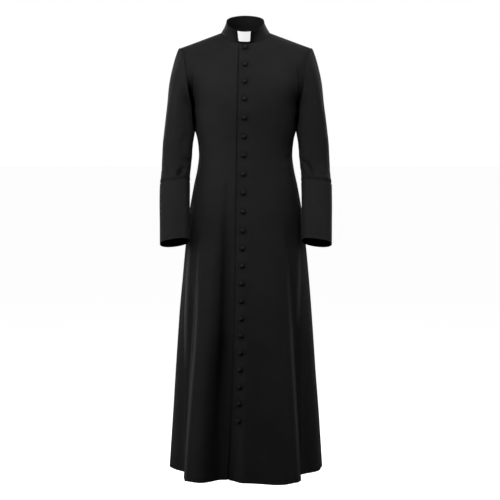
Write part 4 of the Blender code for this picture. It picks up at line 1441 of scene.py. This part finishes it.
def make_buttonholes(seats):
    """A worked slit under each button, which shows beside it towards the lap's edge."""
    steps = np.arange(BUTTONHOLE_STEPS)
    turns = 2.0 * math.pi * steps / BUTTONHOLE_STEPS
    ends = np.cos(turns) * np.abs(np.cos(turns)) ** BUTTONHOLE_END_POWER
    x = BUTTONHOLE_SHIFT + BUTTONHOLE_HALF * rounded(ends)
    y = BUTTONHOLE_WIDTH * np.sin(turns)
    ring = 2.0 * math.pi * np.arange(THREAD_SIDES) / THREAD_SIDES
    thick = THREAD_THICK * (1.0 + TWIST * (-1.0) ** steps)
    around = tube_faces(BUTTONHOLE_STEPS, THREAD_SIDES, closed=True)
    verts, faces = [], []
    for number, (point, normal) in enumerate(zip(*seats)):
        side, up = frame_of(normal)
        path = point + x[:, None] * side + y[:, None] * up - BUTTONHOLE_SINK * normal
        out = unit(y[:, None] * 6.0 * up + (x - BUTTONHOLE_SHIFT)[:, None] * side)
        spread_out = thick[:, None] * np.cos(ring)
        rise = thick[:, None] * np.sin(ring)
        loop = path[:, None] + spread_out[..., None] * out[:, None] + rise[..., None] * normal
        verts.append(loop.reshape(-1, 3))
        faces.append(around + number * BUTTONHOLE_STEPS * THREAD_SIDES)
    dress(mesh_piece("buttonholes_thread", verts, faces), THREAD_LOOK, "cloth")


# ------------------------------------------------------------ stitches

STITCH_PITCH = 0.0036
STITCH_LENGTH = 0.0029
STITCH_RADIUS = 0.00027
# The rings of a stitch: place along it, thickness and height, with its ends sunk in.
STITCH_RINGS = (
    (-0.50, 0.25, -0.0002),
    (-0.38, 1.00, 0.00012),
    (0.38, 1.00, 0.00012),
    (0.50, 0.25, -0.0002),
)


def inset_line(grid, normals, inset, edge, closed=False):
    """Points and normals of the line that runs a short way in from a sheet's edge."""
    if edge == "top":
        grid, normals = grid[::-1], normals[::-1]
    if edge in ("top", "low"):
        grid, normals = grid.transpose(1, 0, 2), normals.transpose(1, 0, 2)
    arcs = arc_lengths(grid, 1)
    rows = np.arange(len(grid))
    after = np.clip((arcs < inset).sum(axis=1), 1, grid.shape[1] - 1)
    low, high = arcs[rows, after - 1], arcs[rows, after]
    t = ((inset - low) / (high - low))[:, None]
    line = mix(grid[rows, after - 1], grid[rows, after], t)
    out = unit(mix(normals[rows, after - 1], normals[rows, after], t))
    if closed:
        line, out = np.concatenate([line, line[:1]]), np.concatenate([out, out[:1]])
    return line, out


def make_stitches(lines):
    """Small threads, one after another, half sunk in the cloth."""
    around = tube_faces(len(STITCH_RINGS), THREAD_SIDES)[:, [0, 3, 2, 1]]
    verts, faces, total = [], [], 0
    for line, out in lines:
        lengths = np.concatenate([[0.0], np.cumsum(np.linalg.norm(np.diff(line, axis=0), axis=1))])
        at = np.arange(STITCH_PITCH, lengths[-1] - STITCH_PITCH, STITCH_PITCH)

        def on_line(values, place):
            return np.stack([np.interp(place, lengths, values[:, k]) for k in range(3)], axis=1)

        centre = on_line(line, at)
        normal = unit(on_line(out, at))
        along = unit(on_line(line, at + 0.001) - on_line(line, at - 0.001))
        side = np.cross(normal, along)
        for x, scale, bend in STITCH_RINGS:
            for turn in 2.0 * math.pi * np.arange(THREAD_SIDES) / THREAD_SIDES:
                y, z = math.cos(turn) * scale * STITCH_RADIUS, math.sin(turn) * scale * STITCH_RADIUS
                verts.append(centre + x * STITCH_LENGTH * along + y * side + (z + bend) * normal)
        each = np.arange(len(at))[None, :, None]
        faces.append((total + around[:, None, :] * len(at) + each).reshape(-1, 4))
        total += len(STITCH_RINGS) * THREAD_SIDES * len(at)
    dress(mesh_piece("topstitching_thread", verts, faces), THREAD_LOOK, "cloth")


# ------------------------------------------------------------ stage, light and camera

FLOOR_HALF = 60.0
FLOOR_Z = -1.72
WHITE = (1.0, 1.0, 1.0, 1.0)
ROOM_LIGHT = 0.03
Lamp = namedtuple("Lamp", "name turn rise distance height size power")
LAMPS = (
    Lamp("chest", -20, 20, 1.5, -0.15, 0.8, 12.0),
    Lamp("chest_left", -45, 45, 1.5, -0.15, 0.8, 4.0),
    Lamp("front_right", 25, 30, 2.6, -0.60, 1.3, 20.0),
    Lamp("front_left", -55, 30, 2.6, -0.60, 1.3, 12.0),
    Lamp("side_left", -90, 0, 2.6, -0.60, 1.3, 20.0),
    Lamp("side_right", 90, 0, 2.6, -0.60, 1.3, 8.0),
    Lamp("above_right", 90, 60, 2.6, -0.60, 1.3, 16.0),
    Lamp("back_left", -150, 25, 2.6, -0.50, 1.3, 24.0),
    Lamp("back_right", 150, 25, 2.6, -0.50, 1.3, 24.0),
)
CAMERA_PLACE = (0.0143, -5.6, -0.3169)
CAMERA_DIP = 4.0
SENSOR_WIDTH = 36.0
FOCAL_PIXELS = 1727.28
FRAME_PIXELS = 500.0
FAR = 200.0


def make_floor():
    corners = [(x * FLOOR_HALF, y * FLOOR_HALF, FLOOR_Z) for x, y in ((-1, -1), (1, -1), (1, 1), (-1, 1))]
    mesh = bpy.data.meshes.new("floor")
    mesh.from_pydata(corners, [], [(0, 1, 2, 3)])
    floor = link_object("floor", mesh)
    material, _, shader = new_material("pale floor")
    set_inputs(shader, {
        "Base Color": (0.86, 0.86, 0.86, 1.0),
        "Roughness": 0.9,
        "Specular IOR Level": 0.0,
        "Emission Color": WHITE,
        "Emission Strength": 0.95,
    })
    mesh.materials.append(material)
    floor.visible_diffuse = False
    floor.visible_glossy = False


def make_room():
    """White where it is looked at, and dim as a light."""
    world = bpy.data.worlds.new("studio")
    bpy.context.scene.world = world
    world.use_nodes = True
    tree = world.node_tree
    seen = add_node(tree, "LightPath", {}, "Is Camera Ray")
    levels = {"Value": seen, "To Min": ROOM_LIGHT, "To Max": 1.0}
    strength = add_node(tree, "MapRange", levels, "Result")
    set_inputs(tree.nodes["Background"], {"Color": WHITE, "Strength": strength})


def make_lamp(lamp):
    """A round lamp at an angle from the front, looking at a height on the gown."""
    turn, rise = math.radians(lamp.turn), math.radians(lamp.rise)
    way = Vector((math.sin(turn) * math.cos(rise), -math.cos(turn) * math.cos(rise), math.sin(rise)))
    light = bpy.data.lights.new(lamp.name, "AREA")
    light.shape = "DISK"
    light.size = lamp.size
    light.energy = lamp.power
    thing = link_object(lamp.name, light)
    thing.location = Vector((0.0, 0.0, lamp.height)) + way * lamp.distance
    thing.visible_camera = False
    thing.rotation_mode = "QUATERNION"
    thing.rotation_quaternion = (-way).to_track_quat("-Z", "Y")


def make_camera():
    camera = bpy.data.cameras.new("camera")
    camera.sensor_width = SENSOR_WIDTH
    camera.lens = SENSOR_WIDTH * FOCAL_PIXELS / FRAME_PIXELS
    camera.clip_end = FAR
    thing = link_object("camera", camera)
    thing.location = CAMERA_PLACE
    thing.rotation_euler = (math.radians(90.0 - CAMERA_DIP), 0.0, 0.0)
    bpy.context.scene.camera = thing


seats = button_seats()
stitch_lines = make_collar() + make_body(seats[0]) + make_sleeves()
make_tab()
make_buttons(seats)
make_buttonholes(seats)
make_stitches(stitch_lines)
make_floor()
make_room()
for lamp in LAMPS:
    make_lamp(lamp)
make_camera()
bpy.context.scene.view_settings.view_transform = "Standard"
bpy.context.scene.view_settings.look = "None"
